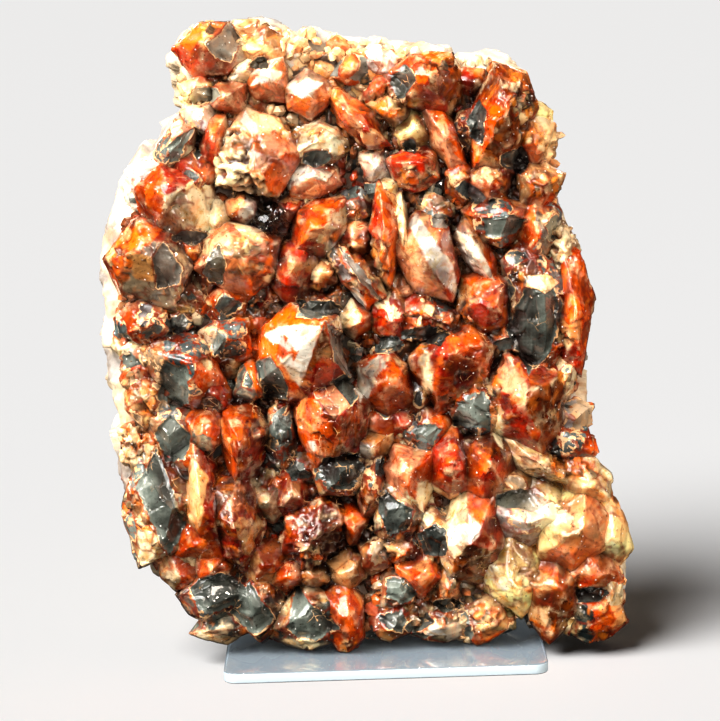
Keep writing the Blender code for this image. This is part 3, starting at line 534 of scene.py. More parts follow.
SKIN_BLEND, SKIN_ZONE = (-0.2, 0.3), -1.5           # a skin patch: its soft edge, and the zone within it
SMOKE_AND_SHADE = ("#3A1A10", "#1E100C")                      # tone and under on a crystal's darker side: painted shade, partly smoky quartz
SMOKY_SHADED_SIDE, SMOKY_SHADE_SHARES = (-10.0, 80.0), (0.0, 0.3, 0.55, 0.8)     # the darker side's direction, and how dark: painted shade, partly smoky quartz
FACE_GAIN = (0.55, 1.2)    # how light one face is against the next
WHOLE_GAIN = (0.80, 1.10)  # and one crystal against the next
SHADED_U, SHADED_V, SHADED_GAIN = 0.0, 66.0, 0.72   # left of and below this all crystals are darker
BROKEN_SHARES = (0.15, 0.3, 0.4, 0.55)              # share of a crystal's plates that have come off
MAIN_CRUSHED, WHOLE_CRUSHED, OTHER_CRUSHED = 2.0, 0.28, 0.10        # noise from which a face is crushed
DARK_SHARE, LIT_SHARE = 0.22, 0.08                  # shares of the facets that are darker and lit up
STREAK_GLOW = "#5A3018"    # light that a growth streak adds
PIT_SHADE = ("#4A1C0C", "#2A0E06")                  # tone and under in the froth's pits
LIT_FACET = "#F8CE94"
PALE_MOOD = "#F6C88E"      # what the druse turns towards where it is paler
BRIGHTEST = 0.92           # no colour of the stone is lighter
LIGHTNESS = (0.21, 0.72, 0.07)     # what red, green and blue add to how light a colour is


def hull_of(row, draw):
    """A crystal's plain faceted form in the stone's frame, as in the solid model."""
    u, v, half_width, half_length, turn, height, tip_u, tip_v, chip, _looks = row
    bm = bmesh.new()
    made = bmesh.ops.create_cone(bm, cap_ends=True, cap_tris=False, segments=CRYSTAL_SIDES, radius1=1.0,
                                 radius2=1.0, depth=1.0)
    verts = made["verts"]
    feet = [x for x in verts if x.co.z < 0.0]
    shoulders = [e.other_vert(x) for x in feet for e in x.link_edges if e.other_vert(x).co.z > 0.0]
    top = next(f for f in shoulders[0].link_faces if all(x in shoulders for x in f.verts))
    apex = bmesh.ops.poke(bm, faces=[top])["verts"][0]
    for foot, corner in zip(feet, shoulders):
        foot.co.x = (foot.co.x + draw.uniform(-UNEVEN, UNEVEN)) * half_width * SPREAD
        foot.co.y = (foot.co.y + draw.uniform(-UNEVEN, UNEVEN)) * half_length * SPREAD
        foot.co.z = 0.0
        rise = SHOULDER * draw.uniform(*SHOULDER_RANGE)
        corner.co = foot.co * (1.0 - rise * TAPER)
        corner.co.z = rise * height
    apex.co = Vector((0.0, 0.0, height))
    verts.append(apex)
    bmesh.ops.rotate(bm, verts=verts, cent=(0, 0, 0), matrix=Matrix.Rotation(math.radians(turn), 3, "Z"))
    for vert in verts:
        rise = vert.co.z / height
        vert.co.x += tip_u * rise
        vert.co.y += tip_v * rise
    chip_normal = None
    if chip:
        facing, tilt, cut = math.radians(chip[0]), math.radians(chip[1]), chip[2]
        chip_normal = Vector((math.sin(tilt) * math.cos(facing), math.sin(tilt) * math.sin(facing),
                              math.cos(tilt)))
        through = Vector((tip_u * cut, tip_v * cut, height * cut))
        bmesh.ops.bisect_plane(bm, geom=bm.verts[:] + bm.edges[:] + bm.faces[:], dist=CUT_TOLERANCE,
                               plane_co=through, plane_no=chip_normal, clear_outer=True)
        bmesh.ops.holes_fill(bm, edges=[e for e in bm.edges if e.is_boundary], sides=0)
    bmesh.ops.translate(bm, verts=bm.verts, vec=(u, v, GAP + ROOT))
    bmesh.ops.recalc_face_normals(bm, faces=bm.faces)
    return bm, chip_normal


def looks_of(row):
    """A crystal's finishes by sector."""
    return row[9].rstrip("!")


def look_towards(row, angle):
    """The finish of the side that faces this way, in radians from the right."""
    looks = looks_of(row)
    return looks[int(round(angle * len(looks) / math.tau)) % len(looks)]


def planes_of(bm, chip_normal, row):
    """The hull's planes: normals, distances, and each one's look."""
    normals, distances, letters = [], [], []
    for face in bm.faces:
        normal = face.normal.copy()
        if normal.z < BASE_SLOPE:
            letter = "base"
        elif chip_normal is not None and normal.dot(chip_normal) > SAME_WAY:
            letter = "chip"
        else:
            letter = look_towards(row, math.atan2(normal.y, normal.x) % math.tau)
        normals.append(tuple(normal))
        distances.append(normal.dot(face.calc_center_median()))
        letters.append(letter)
    return np.array(normals), np.array(distances), letters


def fine_level(row):
    """How often this crystal's faces are split."""
    reach = max(row[2], row[3])
    return SPLITS[0][1] if row[5] > TALL else next(level for least, level in SPLITS if reach > least)


def split_finely(bm, level):
    """The hull with each face split level times, without any smoothing."""
    piece = put_in_scene("hull", close_bmesh("hull", bm))
    finer = piece.modifiers.new("split", "SUBSURF")
    finer.subdivision_type = "SIMPLE"
    finer.levels = level
    finer.render_levels = level
    return evaluated_mesh(piece)


def hull_heights(planes, u, v):
    """Height of a crystal's hull over these places, negative off its foot."""
    normals, distances, _letters = planes
    height = np.full(u.shape, HULL_TOP)
    for normal, distance in zip(normals, distances):
        if normal[2] > 0.02:
            height = np.minimum(height, (distance - normal[0] * u - normal[1] * v) / normal[2])
    return height


def skyline(rows_and_planes):
    """Height of the druse over its face on a grid, as it is and evened out over some millimetres."""
    us, vs = np.arange(*GRID_U, GRID_STEP), np.arange(*GRID_V, GRID_STEP)
    grid_u, grid_v = np.meshgrid(us, vs, indexing="ij")
    top = np.full(grid_u.shape, BED_TOP)
    for row, planes in rows_and_planes:
        near = (np.abs(grid_u - row[0]) < HULL_REACH) & (np.abs(grid_v - row[1]) < HULL_REACH)
        top[near] = np.maximum(top[near], hull_heights(planes, grid_u[near], grid_v[near]))
    even = top.copy()
    for _pass in range(EVENING_PASSES):
        padded = np.pad(even, 1, mode="edge")
        beside = padded[:-2, 1:-1] + padded[2:, 1:-1] + padded[1:-1, :-2] + padded[1:-1, 2:]
        even = (beside + even * 2.0) / 6.0
    return us, vs, top, even


def at_place(sky, layer, u, v):
    """Read one layer of the skyline at these places."""
    us, vs = sky[0], sky[1]
    iu = np.clip(np.round((np.asarray(u) - us[0]) / GRID_STEP).astype(int), 0, len(us) - 1)
    iv = np.clip(np.round((np.asarray(v) - vs[0]) / GRID_STEP).astype(int), 0, len(vs) - 1)
    return sky[layer][iu, iv]


def depth_below(sky, points):
    """How deep each point lies in the crevices, from 0 at the skyline to 1 at the bottom, and so how much
    painted shade it takes, partly the dark iron oxide of the hollows.
    """
    deep = smooth(*CREVICE_SHADE, at_place(sky, 3, points[:, 0], points[:, 1]) - points[:, 2])
    edge = smooth(*RIM_LIGHT, depth_in_outline(points[:, 0], points[:, 1]))
    return deep * edge * (0.6 + 0.4 * smooth(-0.35, 0.25, swell(points, 16.0, 170, 2)))


def is_main(row):
    """Whether this is one of the main crystals."""
    return row[5] > MAIN_HEIGHT


def is_whole(row):
    """Whether a crystal's skin is whole."""
    return row[9].endswith("!")


def cut_corners(points, planes, row, draw):
    """Shave a crystal with more planes: leading faces at its tip, and some random ones, as growth against
    its neighbours leaves them. A main crystal keeps its own tip."""
    normals, distances, letters = planes
    size = min(row[2], row[3], row[5] * 0.8)
    letters = list(letters)
    start = draw.uniform(0.0, math.tau)
    turns = [start + math.tau * k / TIP_FACES + draw.uniform(-TIP_SWAY, TIP_SWAY) for k in range(TIP_FACES)]
    tilts = [draw.uniform(*TIP_TILT) for _turn in turns]
    depths = [draw.uniform(*TIP_CUT) for _turn in turns]
    for _cut in range(draw.choice(SIDE_FACES)):
        turns.append(draw.uniform(0.0, math.tau))
        tilts.append(draw.uniform(*SIDE_TILT))
        depths.append(draw.uniform(*SIDE_CUT))
    first = TIP_FACES + 1 if is_main(row) else 0
    for facing, degrees, depth in zip(turns[first:], tilts[first:], depths[first:]):
        tilt = math.radians(degrees)
        across = math.sin(tilt)
        normal = np.array((across * math.cos(facing), across * math.sin(facing), math.cos(tilt)))
        reach = (points @ normal).max() - size * depth
        points = points - normal * np.maximum(points @ normal - reach, 0.0)[:, None]
        normals = np.vstack([normals, normal])
        distances = np.append(distances, reach)
        letters.append(look_towards(row, facing))
    return points, (normals, distances, letters)


def polygon_inset(points, corners):
    """How far inside a convex polygon of (u, v) corners each point lies, in mm."""
    inset = np.full(len(points), 1000.0)
    middle_u = sum(c[0] for c in corners) / len(corners)
    middle_v = sum(c[1] for c in corners) / len(corners)
    for (u1, v1), (u2, v2) in zip(corners, corners[1:] + corners[:1]):
        length = math.hypot(u2 - u1, v2 - v1)
        away_u, away_v = (v2 - v1) / length, -(u2 - u1) / length
        inward = 1.0 if (middle_u - u1) * away_u + (middle_v - v1) * away_v > 0 else -1.0
        inset = np.minimum(inset, inward * ((points[:, 0] - u1) * away_u + (points[:, 1] - v1) * away_v))
    return inset


def patch_corners(number, patch):
    """The ragged polygon of one patch."""
    u, v, half_length, half_width, turn, _look = patch
    draw = random.Random(SEED + 40 + number)
    sides = draw.choice((4, 5, 5, 6))
    angle = math.radians(turn)
    corners = []
    for side in range(sides):
        around = math.tau * (side + draw.uniform(-0.3, 0.3)) / sides
        reach = draw.uniform(*PATCH_REACH)
        along, across = half_length * reach * math.cos(around), half_width * reach * math.sin(around)
        corners.append((u + along * math.cos(angle) - across * math.sin(angle),
                        v + along * math.sin(angle) + across * math.cos(angle)))
    return tuple(corners)


def paint_patches(points, finish):
    """Lay facets and patches over the finish. A core look breaks the skin, any other one recolours it."""
    tone, under, inner, zone = (finish[layer] for layer in (*LAYERS, "zone"))
    shapes = [(facet[0], facet[1:]) for facet in FACETS]
    shapes += [(patch[5], patch_corners(number, patch)) for number, patch in enumerate(PATCHES)]
    ragged = relief(points, PATCH_EDGE)
    for look, corners in shapes:
        middle = np.mean(corners, axis=0)
        span = max(math.hypot(c[0] - middle[0], c[1] - middle[1]) for c in corners)
        if (np.abs(points[:, :2] - middle).max(axis=1) > span + PATCH_ROOM).all():
            continue
        inset = polygon_inset(points, corners) + ragged
        if look in CORES:
            inside = (inset > -CORE_ROOM) & (inset - CORE_LEAD > zone)
            inner[inside] = linear(LOOKS[look][0])
            zone[inside] = np.minimum(inset[inside] - CORE_RIM, ZONE_LIMIT)
        else:
            share = smooth(*SKIN_BLEND, inset)
            tone[:] = mix(tone, linear(LOOKS[look][0]), share)
            under[:] = mix(under, linear(LOOKS[look][1]), share)
            zone[:] = np.where(share > 0.5, np.minimum(zone, SKIN_ZONE), zone)


def round_ridges(points, planes, row, draw):
    """Round a crystal's ridges. Gives the points, the way out, how far each point is from each plane, and
    how near a ridge it is, from 0 to 1."""
    normals, distances, letters = planes
    gaps = distances[None, :] - points @ normals.T
    faces = np.array([letter != "base" for letter in letters])
    two = np.partition(np.where(faces[None, :], gaps, 99.0), 1, axis=1)
    radius = MAIN_ROUND_OFF if is_main(row) else draw.uniform(*ROUND_OFF)
    weight = np.exp(-np.maximum(gaps, 0.0) / radius)
    outward = weight @ normals
    outward /= np.linalg.norm(outward, axis=1)[:, None]
    points = points - outward * (radius * np.log(weight.sum(axis=1)))[:, None]
    return points, outward, gaps, np.exp(-(two[:, 1] - two[:, 0]) / RIDGE_LIT_AND_WORN)


def face_finishes(points, gaps, letters, row, draw):
    """The colours of each point's face, with wandering borders between the faces. Gives the number of that
    face, the faces' looks and the finish."""
    waves = [swell(points + 31.7 * k, BORDER_WAVE, 80 + k, 2) for k in range(len(letters))]
    owner = np.argmin(gaps + np.stack(waves, axis=1) * BORDER_REACH, axis=1)
    names = [looks_of(row)[0] if letter in ("base", "chip") else letter for letter in letters]
    finish = {layer: np.array([linear(LOOKS[name][k]) for name in names])[owner]
              for k, layer in enumerate(LAYERS)}
    gains = np.array([1.0 if is_main(row) else draw.uniform(*FACE_GAIN) for _name in names])[owner, None]
    finish["tone"], finish["under"] = finish["tone"] * gains, finish["under"] * gains
    return owner, names, finish


def smoke_shade_and_streak(points, finish, row, draw):
    """Shade a crystal as a whole, darken one side of it with painted shade, partly smoky quartz, and draw
    growth streaks up its faces.
    """
    shade = draw.uniform(*WHOLE_GAIN) * (SHADED_GAIN if row[0] < SHADED_U and row[1] < SHADED_V else 1.0)
    middle = points.mean(axis=0)
    side = math.radians(draw.uniform(*SMOKY_SHADED_SIDE))
    across = (points[:, 0] - middle[0]) * math.cos(side) + (points[:, 1] - middle[1]) * math.sin(side)
    # one side darker: painted shade, partly smoky quartz
    smoky = smooth(0.15, 1.0, across / min(row[2], row[3]) + 0.5 * swell(points, 5.0, 140, 2))
    smoky *= draw.choice(SMOKY_SHADE_SHARES)
    tone = mix(finish["tone"] * shade, linear(SMOKE_AND_SHADE[0]), smoky)
    under = mix(finish["under"] * shade, linear(SMOKE_AND_SHADE[1]), smoky)
    up = np.array([row[6], row[7], row[5]]) / math.sqrt(row[6] ** 2 + row[7] ** 2 + row[5] ** 2)
    along = points @ up
    streak = swell(points - np.outer(along, up) * STREAK_PULL, STREAK, 130, 2)
    tone = mix(tone, tone * 1.4 + linear(STREAK_GLOW), smooth(0.18, 0.5, streak) * 0.3)
    finish["tone"] = mix(tone, under * 0.6, smooth(0.18, 0.5, -streak) * 0.6)
    finish["under"] = under


def break_skin(points, finish, gaps, owner, letters, row, number, draw):
    """Say where the skin is broken: the finish's zone counts inwards from the break, in mm."""
    _near, border, _offset, chance = shards(points, SKIN_PLATE, 11)
    share = 0.0 if is_whole(row) else draw.choice(BROKEN_SHARES)
    zone = np.where(chance[:, 3] < share, border * 0.5, -border * 0.5) - 0.1
    if row[8]:
        on_chip = owner == (letters.index("chip") if "chip" in letters else -1)
        finish["inner"][on_chip] = linear(LOOKS[row[8][3]][0])
        sides = [k for k, letter in enumerate(letters) if letter not in ("base", "chip")]
        shell = gaps[:, sides].min(axis=1)
        shell += swell(points, 3.5, 90 + number % 5, 2) * 1.3
        zone = np.where(on_chip, shell - 1.0, np.minimum(zone, 0.4))
    finish["zone"] = np.clip(zone, -ZONE_LIMIT, ZONE_LIMIT)


def crush_faces(points, finish, row):
    """Crushed places, where many small crystals have grown into a face. Gives how far they stand out."""
    least = MAIN_CRUSHED if is_main(row) else WHOLE_CRUSHED if is_whole(row) else OTHER_CRUSHED
    crushed = smooth(least, least + 0.15, swell(points, CRUSHED, 310, 2)) * (finish["zone"] < 0.2)
    _near, crack, lean, dice = shards(points, CRUMB, 17)
    crumbs = np.array([linear(code) for code in CRUMBS])[(dice[:, 3] * len(CRUMBS)).astype(int)]
    tone = mix(finish["tone"], crumbs, crushed * 0.85)
    finish["tone"] = mix(tone, tone * 0.2, crushed * np.exp(-crack / 0.16))
    finish["under"] = mix(finish["under"], crumbs * 0.55, crushed * 0.85)
    tilt = np.clip(((dice[:, :3] - 0.5) * 1.1 * lean).sum(axis=1), -CRUMB_LIMIT, CRUMB_LIMIT)
    return crushed * (tilt - CRUMB_GROOVE * np.exp(-crack / 0.22))


def froth_up(points, finish, frothy, names):
    """Bubbles of a frothy or a berry-like crust, with pits in the frothy one. Gives how far they stand
    out."""
    size = FROTH_BUBBLE if "F" in names else BERRY_BUBBLE
    near = shards(points, size, 7)[0]
    bubble = np.sqrt(np.clip(1.0 - (near / size / 0.75) ** 2, 0.0, 1.0))
    pit = smooth(0.06, 0.26, swell(points, size * 1.1, 97, 2)) * frothy * ("F" in names)
    for layer, shade in zip(LAYERS, PIT_SHADE):
        finish[layer] = mix(finish[layer], linear(shade), pit)
    finish["zone"] = np.where(frothy, -ZONE_LIMIT, finish["zone"])
    return frothy * (bubble - 0.5) * BUBBLE_RISE - pit * PIT_DEPTH


def surface_of_crystal(points, planes, row, number):
    """Round the ridges and break up the faces. Gives the points and their values for the finish."""
    draw = random.Random(SEED * 100 + number)
    points, planes = cut_corners(points, planes, row, draw)
    letters = planes[2]
    points, outward, gaps, ridge = round_ridges(points, planes, row, draw)
    calm = MAIN_CALM if is_main(row) else draw.uniform(*CALM)
    _near, seam, offset, luck = shards(points, FACET, 3)
    tilt = np.clip(((luck[:, :3] - 0.5) * 0.44 * offset).sum(axis=1), -FACET_LIMIT, FACET_LIMIT)
    broad = swell(points, BROAD, 40 + number % 7, 2) * BROAD_RISE
    rise = (tilt + broad + swell(points, RIPPLE, 60, 2) * RIPPLE_RISE) * calm

    owner, names, finish = face_finishes(points, gaps, letters, row, draw)
    smoke_shade_and_streak(points, finish, row, draw)
    break_skin(points, finish, gaps, owner, letters, row, number, draw)
    paint_patches(points, finish)
    rise -= CORE_DEPTH * smooth(0.25, 0.9, finish["zone"])
    rise += LAYER_RISE * np.exp(-(finish["zone"] - 0.1) ** 2 / 0.15)
    rise += crush_faces(points, finish, row)
    frothy = np.array([name in FROTHY for name in names])[owner]
    if frothy.any():
        rise += froth_up(points, finish, frothy, names)

    # some facets darker, a few lit up, and a groove along their seams
    tone = finish["tone"]
    tone[(luck[:, 3] < DARK_SHARE) & ~frothy] *= 0.5
    bright = (luck[:, 3] > 1.0 - LIT_SHARE) & ~frothy
    tone[bright] = tone[bright] * 0.6 + linear(LIT_FACET) * 0.4
    rise -= np.exp(-seam / 0.25) * calm * GROOVE
    finish["ridge"] = ridge
    return points + outward * rise[:, None], finish


def depth_in_outline(u, v):
    """How far inside the slab's outline these places lie, in mm, less than 0 outside it."""
    u, v = np.atleast_1d(u), np.atleast_1d(v)
    inside = np.zeros(len(u), bool)
    nearest = np.full(len(u), 1000.0)
    for (u1, v1), (u2, v2) in zip(OUTLINE, OUTLINE[1:] + OUTLINE[:1]):
        if v1 != v2:
            inside ^= ((v1 > v) != (v2 > v)) & (u < (u2 - u1) * (v - v1) / (v2 - v1) + u1)
        length = (u2 - u1) ** 2 + (v2 - v1) ** 2
        along = np.clip(((u - u1) * (u2 - u1) + (v - v1) * (v2 - v1)) / length, 0.0, 1.0)
        nearest = np.minimum(nearest, np.hypot(u - u1 - along * (u2 - u1), v - v1 - along * (v2 - v1)))
    return np.where(inside, nearest, -nearest)


def crusted(u, v):
    """Whether the slab's rim has a pale crust here: its top, upper right, lower right and left edge."""
    return v > 154 or (u > 41 and v > 122) or (u > 22 and v < 48) or u < -64


# The smaller crystals in the hollows, mm
SECOND_SPACING, SECOND_STRAY = 5.6, 0.35            # the stray as a share of the spacing
SECOND_WIDTH, SECOND_STRETCH = (2.2, 4.4), (0.8, 1.6)
SECOND_REACH = (0.55, 0.9)                          # height as a share of the evened skyline
SECOND_LEAN_U, SECOND_LEAN_V = (-2.0, 2.0), (-1.0, 3.0)
FOOT_V = 12.0              # below this they grow closer to the slab's edge, and taller
EDGE_ROOM, RIM_ROOM = 4.5, 2.4                      # nearest the slab's edge, and where it is crusted
HOLLOW, RIM_HOLLOW = 1.0, 0.4                       # depth below the evened skyline of a hollow
LEAST_HEIGHT, FOOT_HEIGHT = 4.0, 5.0
SECOND_LOOKS = ("K!", "S!", "BK!", "R!", "RB!", "OR!", "K!", "SK!", "G!", "BO!", "K!", "RO!", "CO!", "B!",
                "S!", "KP!", "K!", "SB!", "W!", "C!")
CRUST_LOOKS = ("C!", "PC!", "P!", "CO!", "W!", "YC!", "PO!", "CW!", "OP!", "CS!")


def second_growth(sky):
    """Rows for the smaller crystals that stand in the hollows between the large ones."""
    draw = random.Random(SEED + 5)
    rows = []
    for step_u, step_v in itertools.product(range(-14, 14), range(0, 32)):
        u = (step_u + 0.5 * (step_v % 2) + draw.uniform(-SECOND_STRAY, SECOND_STRAY)) * SECOND_SPACING
        v = (step_v + draw.uniform(-SECOND_STRAY, SECOND_STRAY)) * SECOND_SPACING
        width, reach = draw.uniform(*SECOND_WIDTH), draw.uniform(*SECOND_REACH)
        lean = draw.uniform(*SECOND_LEAN_U), draw.uniform(*SECOND_LEAN_V)
        turn, stretch = draw.uniform(0.0, 360.0 / CRYSTAL_SIDES), draw.uniform(*SECOND_STRETCH)
        crust = crusted(u, v)
        looks = draw.choice(CRUST_LOOKS if crust else SECOND_LOOKS)
        if depth_in_outline(u, v)[0] < (RIM_ROOM if crust or v < FOOT_V else EDGE_ROOM):
            continue
        general = float(at_place(sky, 3, u, v))
        if float(at_place(sky, 2, u, v)) > general - (RIM_HOLLOW if crust else HOLLOW):
            continue
        height = max(FOOT_HEIGHT if v < FOOT_V else LEAST_HEIGHT, general * reach)
        rows.append((u, v, width, width * stretch, turn, height, *lean, None, looks))
    return rows


def gather_crystals(rows, draw):
    """Hull and planes of each row."""
    hulls = []
    for row in rows:
        bm, chip_normal = hull_of(row, draw)
        hulls.append((row, bm, planes_of(bm, chip_normal, row)))
    return hulls


def mood_at(points):
    """How much paler or darker the druse is here than elsewhere, as a factor."""
    mood = np.ones(len(points))
    for u, v, reach, gain in MOODS:
        mood += gain * np.exp(-((points[:, 0] - u) ** 2 + (points[:, 1] - v) ** 2) / reach ** 2)
    return mood


def join_crystals(name, hulls, sky, material):
    """One mesh of many closed, numbered crystals, with their finish stored on the vertices."""
    parts, faces, values = [], [], []
    start = 0
    for number, (row, bm, planes) in hulls:
        mesh = split_finely(bm, fine_level(row))
        points, finish = surface_of_crystal(read_points(mesh), planes, row, number)
        points[:, 1] = np.maximum(points[:, 1], floor_of_face(points[:, 2]))
        corners = np.empty(len(mesh.loops), dtype=np.int32)
        mesh.loops.foreach_get("vertex_index", corners)
        bpy.data.meshes.remove(mesh)
        parts.append(points)
        faces.append(corners.reshape(-1, 4) + start)
        values.append(finish)
        start += len(points)
    points = np.concatenate(parts)
    mesh = bpy.data.meshes.new(name)
    mesh.from_pydata(keep_in_box(stone_to_world(points)), [], np.concatenate(faces).tolist())
    mood = mood_at(points)
    for layer in LAYERS:
        colours = np.concatenate([v[layer] for v in values])
        grey = colours.mean(axis=1)[:, None]
        colours = np.clip(grey + (colours - grey) * VIVID, 0.0, 1.0)
        paler = mix(colours, linear(PALE_MOOD), np.clip(mood - 1.0, 0.0, 1.0) ** 2 * 0.8)
        store_colour(mesh, layer, np.clip(paler * (0.3 + 0.7 * mood)[:, None], 0.0, BRIGHTEST))
    for layer in ("zone", "ridge"):
        store_value(mesh, layer, np.concatenate([v[layer] for v in values]))
    # painted shade in the crevices, partly the dark iron oxide of the hollows: less dark where the crystals
    # are pale
    pale = smooth(0.35, 0.75, np.concatenate([v["tone"] for v in values]) @ np.array(LIGHTNESS))
    lit = (1.0 - 0.35 * pale) * np.clip(1.5 - 0.5 * mood, 0.6, 1.3)
    store_value(mesh, "deep", depth_below(sky, points) * lit)
    return finish_piece(name, mesh, material, "iron_stained_quartz", "crystals")


# The druse's pieces, each under 200,000 triangles: name, from and to in v, from and to in u, mm.
BANDS = (("druse_foot", (-9, 34), (-80, 80)), ("druse_lower_left", (34, 68), (-80, -20)),
         ("druse_lower_right", (34, 68), (-20, 80)), ("druse_middle", (68, 103), (-80, 80)),
         ("druse_upper", (103, 136), (-80, 80)), ("druse_top", (136, 200), (-80, 80)))
SECOND_HALF = 85.0         # height that parts the two pieces of the second growth


def druse(material, clear_material):
    """All the crystals, in a few pieces by place, and the clear one by itself."""
    hulls = gather_crystals(CRYSTALS, random.Random(SEED))
    sky = skyline([(row, planes) for row, _bm, planes in hulls])
    for name, (low, high), (left, right) in BANDS:
        mine = enumerate([x for x in hulls if low <= x[0][1] < high and x[0][9] != "g"], low + 10)
        join_crystals(name, [x for x in mine if left <= x[1][0][0] < right], sky, material)
    join_crystals("clear_crystal", enumerate(x for x in hulls if x[0][9] == "g"), sky, clear_material)
    second = gather_crystals(second_growth(sky), random.Random(SEED + 6))
    for name, upper, first in (("second_growth_lower", False, 300), ("second_growth_upper", True, 700)):
        mine = [x for x in second if (x[0][1] >= SECOND_HALF) == upper]
        join_crystals(name, enumerate(mine, first), sky, material)
    return sky


# ---------------------------------------------------------------- small crystals between the large ones

SEED_TOP, SEED_SIDES, SEED_TIP = 0.85, 1.2, 0.75    # its width at the shoulders, and both heights
DENSITY = 4.0              # most small crystals on a square unit, before their spacing thins them
RIM_LEFT_END = -50.0       # left of this the rim has no small crystals of its own
CRUMB_CELL = 2.6           # mm over which the small crystals get lighter or darker
CRUMB_SWELLS = ((2.2, 19, 1, 0.25), (1.1, 21, 1, 0.15))             # what makes them uneven
PALE_CRUMB = "#F0C692"
LEAN_SEED, LUCK_SEED = 5, 9

# name, band (outer, inner, outer w, inner w), spacing, smallest, largest, tilt, seed, finishes
SMALL_KINDS = (
    ("hollow_crystals", (0.93, 0.02, 2.4, 3.0), 2.6, 0.8, 2.3, 0.9, 4, "RBBKOKSRBKCBRK"),
    ("rim_crystals", (0.985, 0.92, -1.0, 3.4), 2.4, 0.8, 2.2, 0.6, 8, "CPWCPPOCWPCCPC"),
)


def outline_band(outer, inner, outer_w, inner_w, crusted_only):
    """A band between two shrunken copies of the slab's outline, in the stone's frame, all round it or only
    where the slab's rim is crusted."""
    bm = bmesh.new()
    rings = [[bm.verts.new((HEART[0] + (u - HEART[0]) * share, HEART[1] + (v - HEART[1]) * share, w))
              for u, v in OUTLINE] for share, w in ((outer, outer_w), (inner, inner_w))]
    for (a, b), (c, d) in zip(*(zip(ring, ring[1:] + ring[:1]) for ring in rings)):
        if not crusted_only or (crusted(a.co.x, a.co.y) and a.co.x > RIM_LEFT_END):
            bm.faces.new((b, a, c, d))
    return put_in_scene("outline_band", close_bmesh("outline_band", bm))


def seed_crystal():
    """One small stubby crystal, 1 mm across its half width and about 2 mm high."""
    bm = bmesh.new()
    bmesh.ops.create_cone(bm, cap_ends=True, segments=CRYSTAL_SIDES, radius1=1.0, radius2=SEED_TOP,
                          depth=SEED_SIDES)
    top = next(f for f in bm.faces if len(f.verts) == CRYSTAL_SIDES and f.calc_center_median().z > 0.0)
    bmesh.ops.poke(bm, faces=[top])["verts"][0].co.z += SEED_TIP
    bmesh.ops.translate(bm, verts=bm.verts, vec=(0, 0, SEED_SIDES * 0.5))
    return put_in_scene("seed_crystal", close_bmesh("seed_crystal", bm))


def set_inputs(tree, node, inputs):
    """Link each input to a socket, or give it a constant."""
    for key, value in inputs:
        if isinstance(value, bpy.types.NodeSocket):
            tree.links.new(value, node.inputs[key])
        else:
            node.inputs[key].default_value = value


def add_node(tree, kind, settings=(), inputs=()):
    """Add a node, give it its settings, and set or link its inputs."""
    node = tree.nodes.new(kind)
    for key, value in settings:
        setattr(node, key, value)
    set_inputs(tree, node, inputs)
    return node


def calculate(tree, operation, *values):
    """The outcome of a Math node."""
    return add_node(tree, "ShaderNodeMath", (("operation", operation),), enumerate(values)).outputs[0]


def random_vector(tree, low, high, seed):
    """A random vector for each point."""
    return add_node(tree, "FunctionNodeRandomValue", (("data_type", "FLOAT_VECTOR"),),
                    ((0, low), (1, high), ("Seed", seed))).outputs[0]


def scatter_tree(name):
    """Geometry Nodes that grow small crystals over a surface."""
    tree = bpy.data.node_groups.new(name, "GeometryNodeTree")
    ports = tree.interface
    ports.new_socket("Geometry", in_out="INPUT", socket_type="NodeSocketGeometry")
    for label, kind in (("Crystal", "Object"), ("Spacing", "Float"), ("Smallest", "Float"),
                        ("Largest", "Float"), ("Tilt", "Float"), ("Seed", "Int"), ("Material", "Material")):
        ports.new_socket(label, in_out="INPUT", socket_type="NodeSocket" + kind)
    ports.new_socket("Geometry", in_out="OUTPUT", socket_type="NodeSocketGeometry")
    given = add_node(tree, "NodeGroupInput").outputs
    points = add_node(tree, "GeometryNodeDistributePointsOnFaces", (("distribute_method", "POISSON"),),
                      (("Mesh", given["Geometry"]), ("Distance Min", given["Spacing"]),
                       ("Density Max", DENSITY), ("Seed", given["Seed"]))).outputs
    low, high = (add_node(tree, "ShaderNodeCombineXYZ", (), [(axis, given[end]) for axis in "XYZ"])
                 for end in ("Smallest", "Largest"))
    size = random_vector(tree, low.outputs[0], high.outputs[0], given["Seed"])
    back, ahead = calculate(tree, "MULTIPLY", given["Tilt"], -1.0), given["Tilt"]
    lean_low = add_node(tree, "ShaderNodeCombineXYZ", (), (("X", back), ("Y", back)))
    lean_high = add_node(tree, "ShaderNodeCombineXYZ", (), (("X", ahead), ("Y", ahead), ("Z", math.tau)))
    lean = random_vector(tree, lean_low.outputs[0], lean_high.outputs[0], LEAN_SEED)
    turned = add_node(tree, "FunctionNodeRotateRotation", (("rotation_space", "LOCAL"),),
                      ((0, points["Rotation"]), (1, lean)))
    shape = add_node(tree, "GeometryNodeObjectInfo", (), ((0, given["Crystal"]),))
    grown = add_node(tree, "GeometryNodeInstanceOnPoints", (),
                     (("Points", points["Points"]), ("Instance", shape.outputs["Geometry"]),
                      ("Rotation", turned.outputs[0]), ("Scale", size)))
    luck = add_node(tree, "FunctionNodeRandomValue", (("data_type", "FLOAT"),), (("Seed", LUCK_SEED),))
    named = add_node(tree, "GeometryNodeStoreNamedAttribute",
                     (("data_type", "FLOAT"), ("domain", "INSTANCE")),
                     (("Geometry", grown.outputs[0]), ("Name", "luck"), ("Value", luck.outputs[1])))
    real = add_node(tree, "GeometryNodeRealizeInstances", (), ((0, named.outputs[0]),))
    split = add_node(tree, "GeometryNodeSubdivideMesh", (), ((0, real.outputs[0]), ("Level", 1)))
    dressed = add_node(tree, "GeometryNodeSetMaterial", (),
                       ((0, split.outputs[0]), ("Material", given["Material"])))
    add_node(tree, "NodeGroupOutput", (), ((0, dressed.outputs[0]),))
    return tree


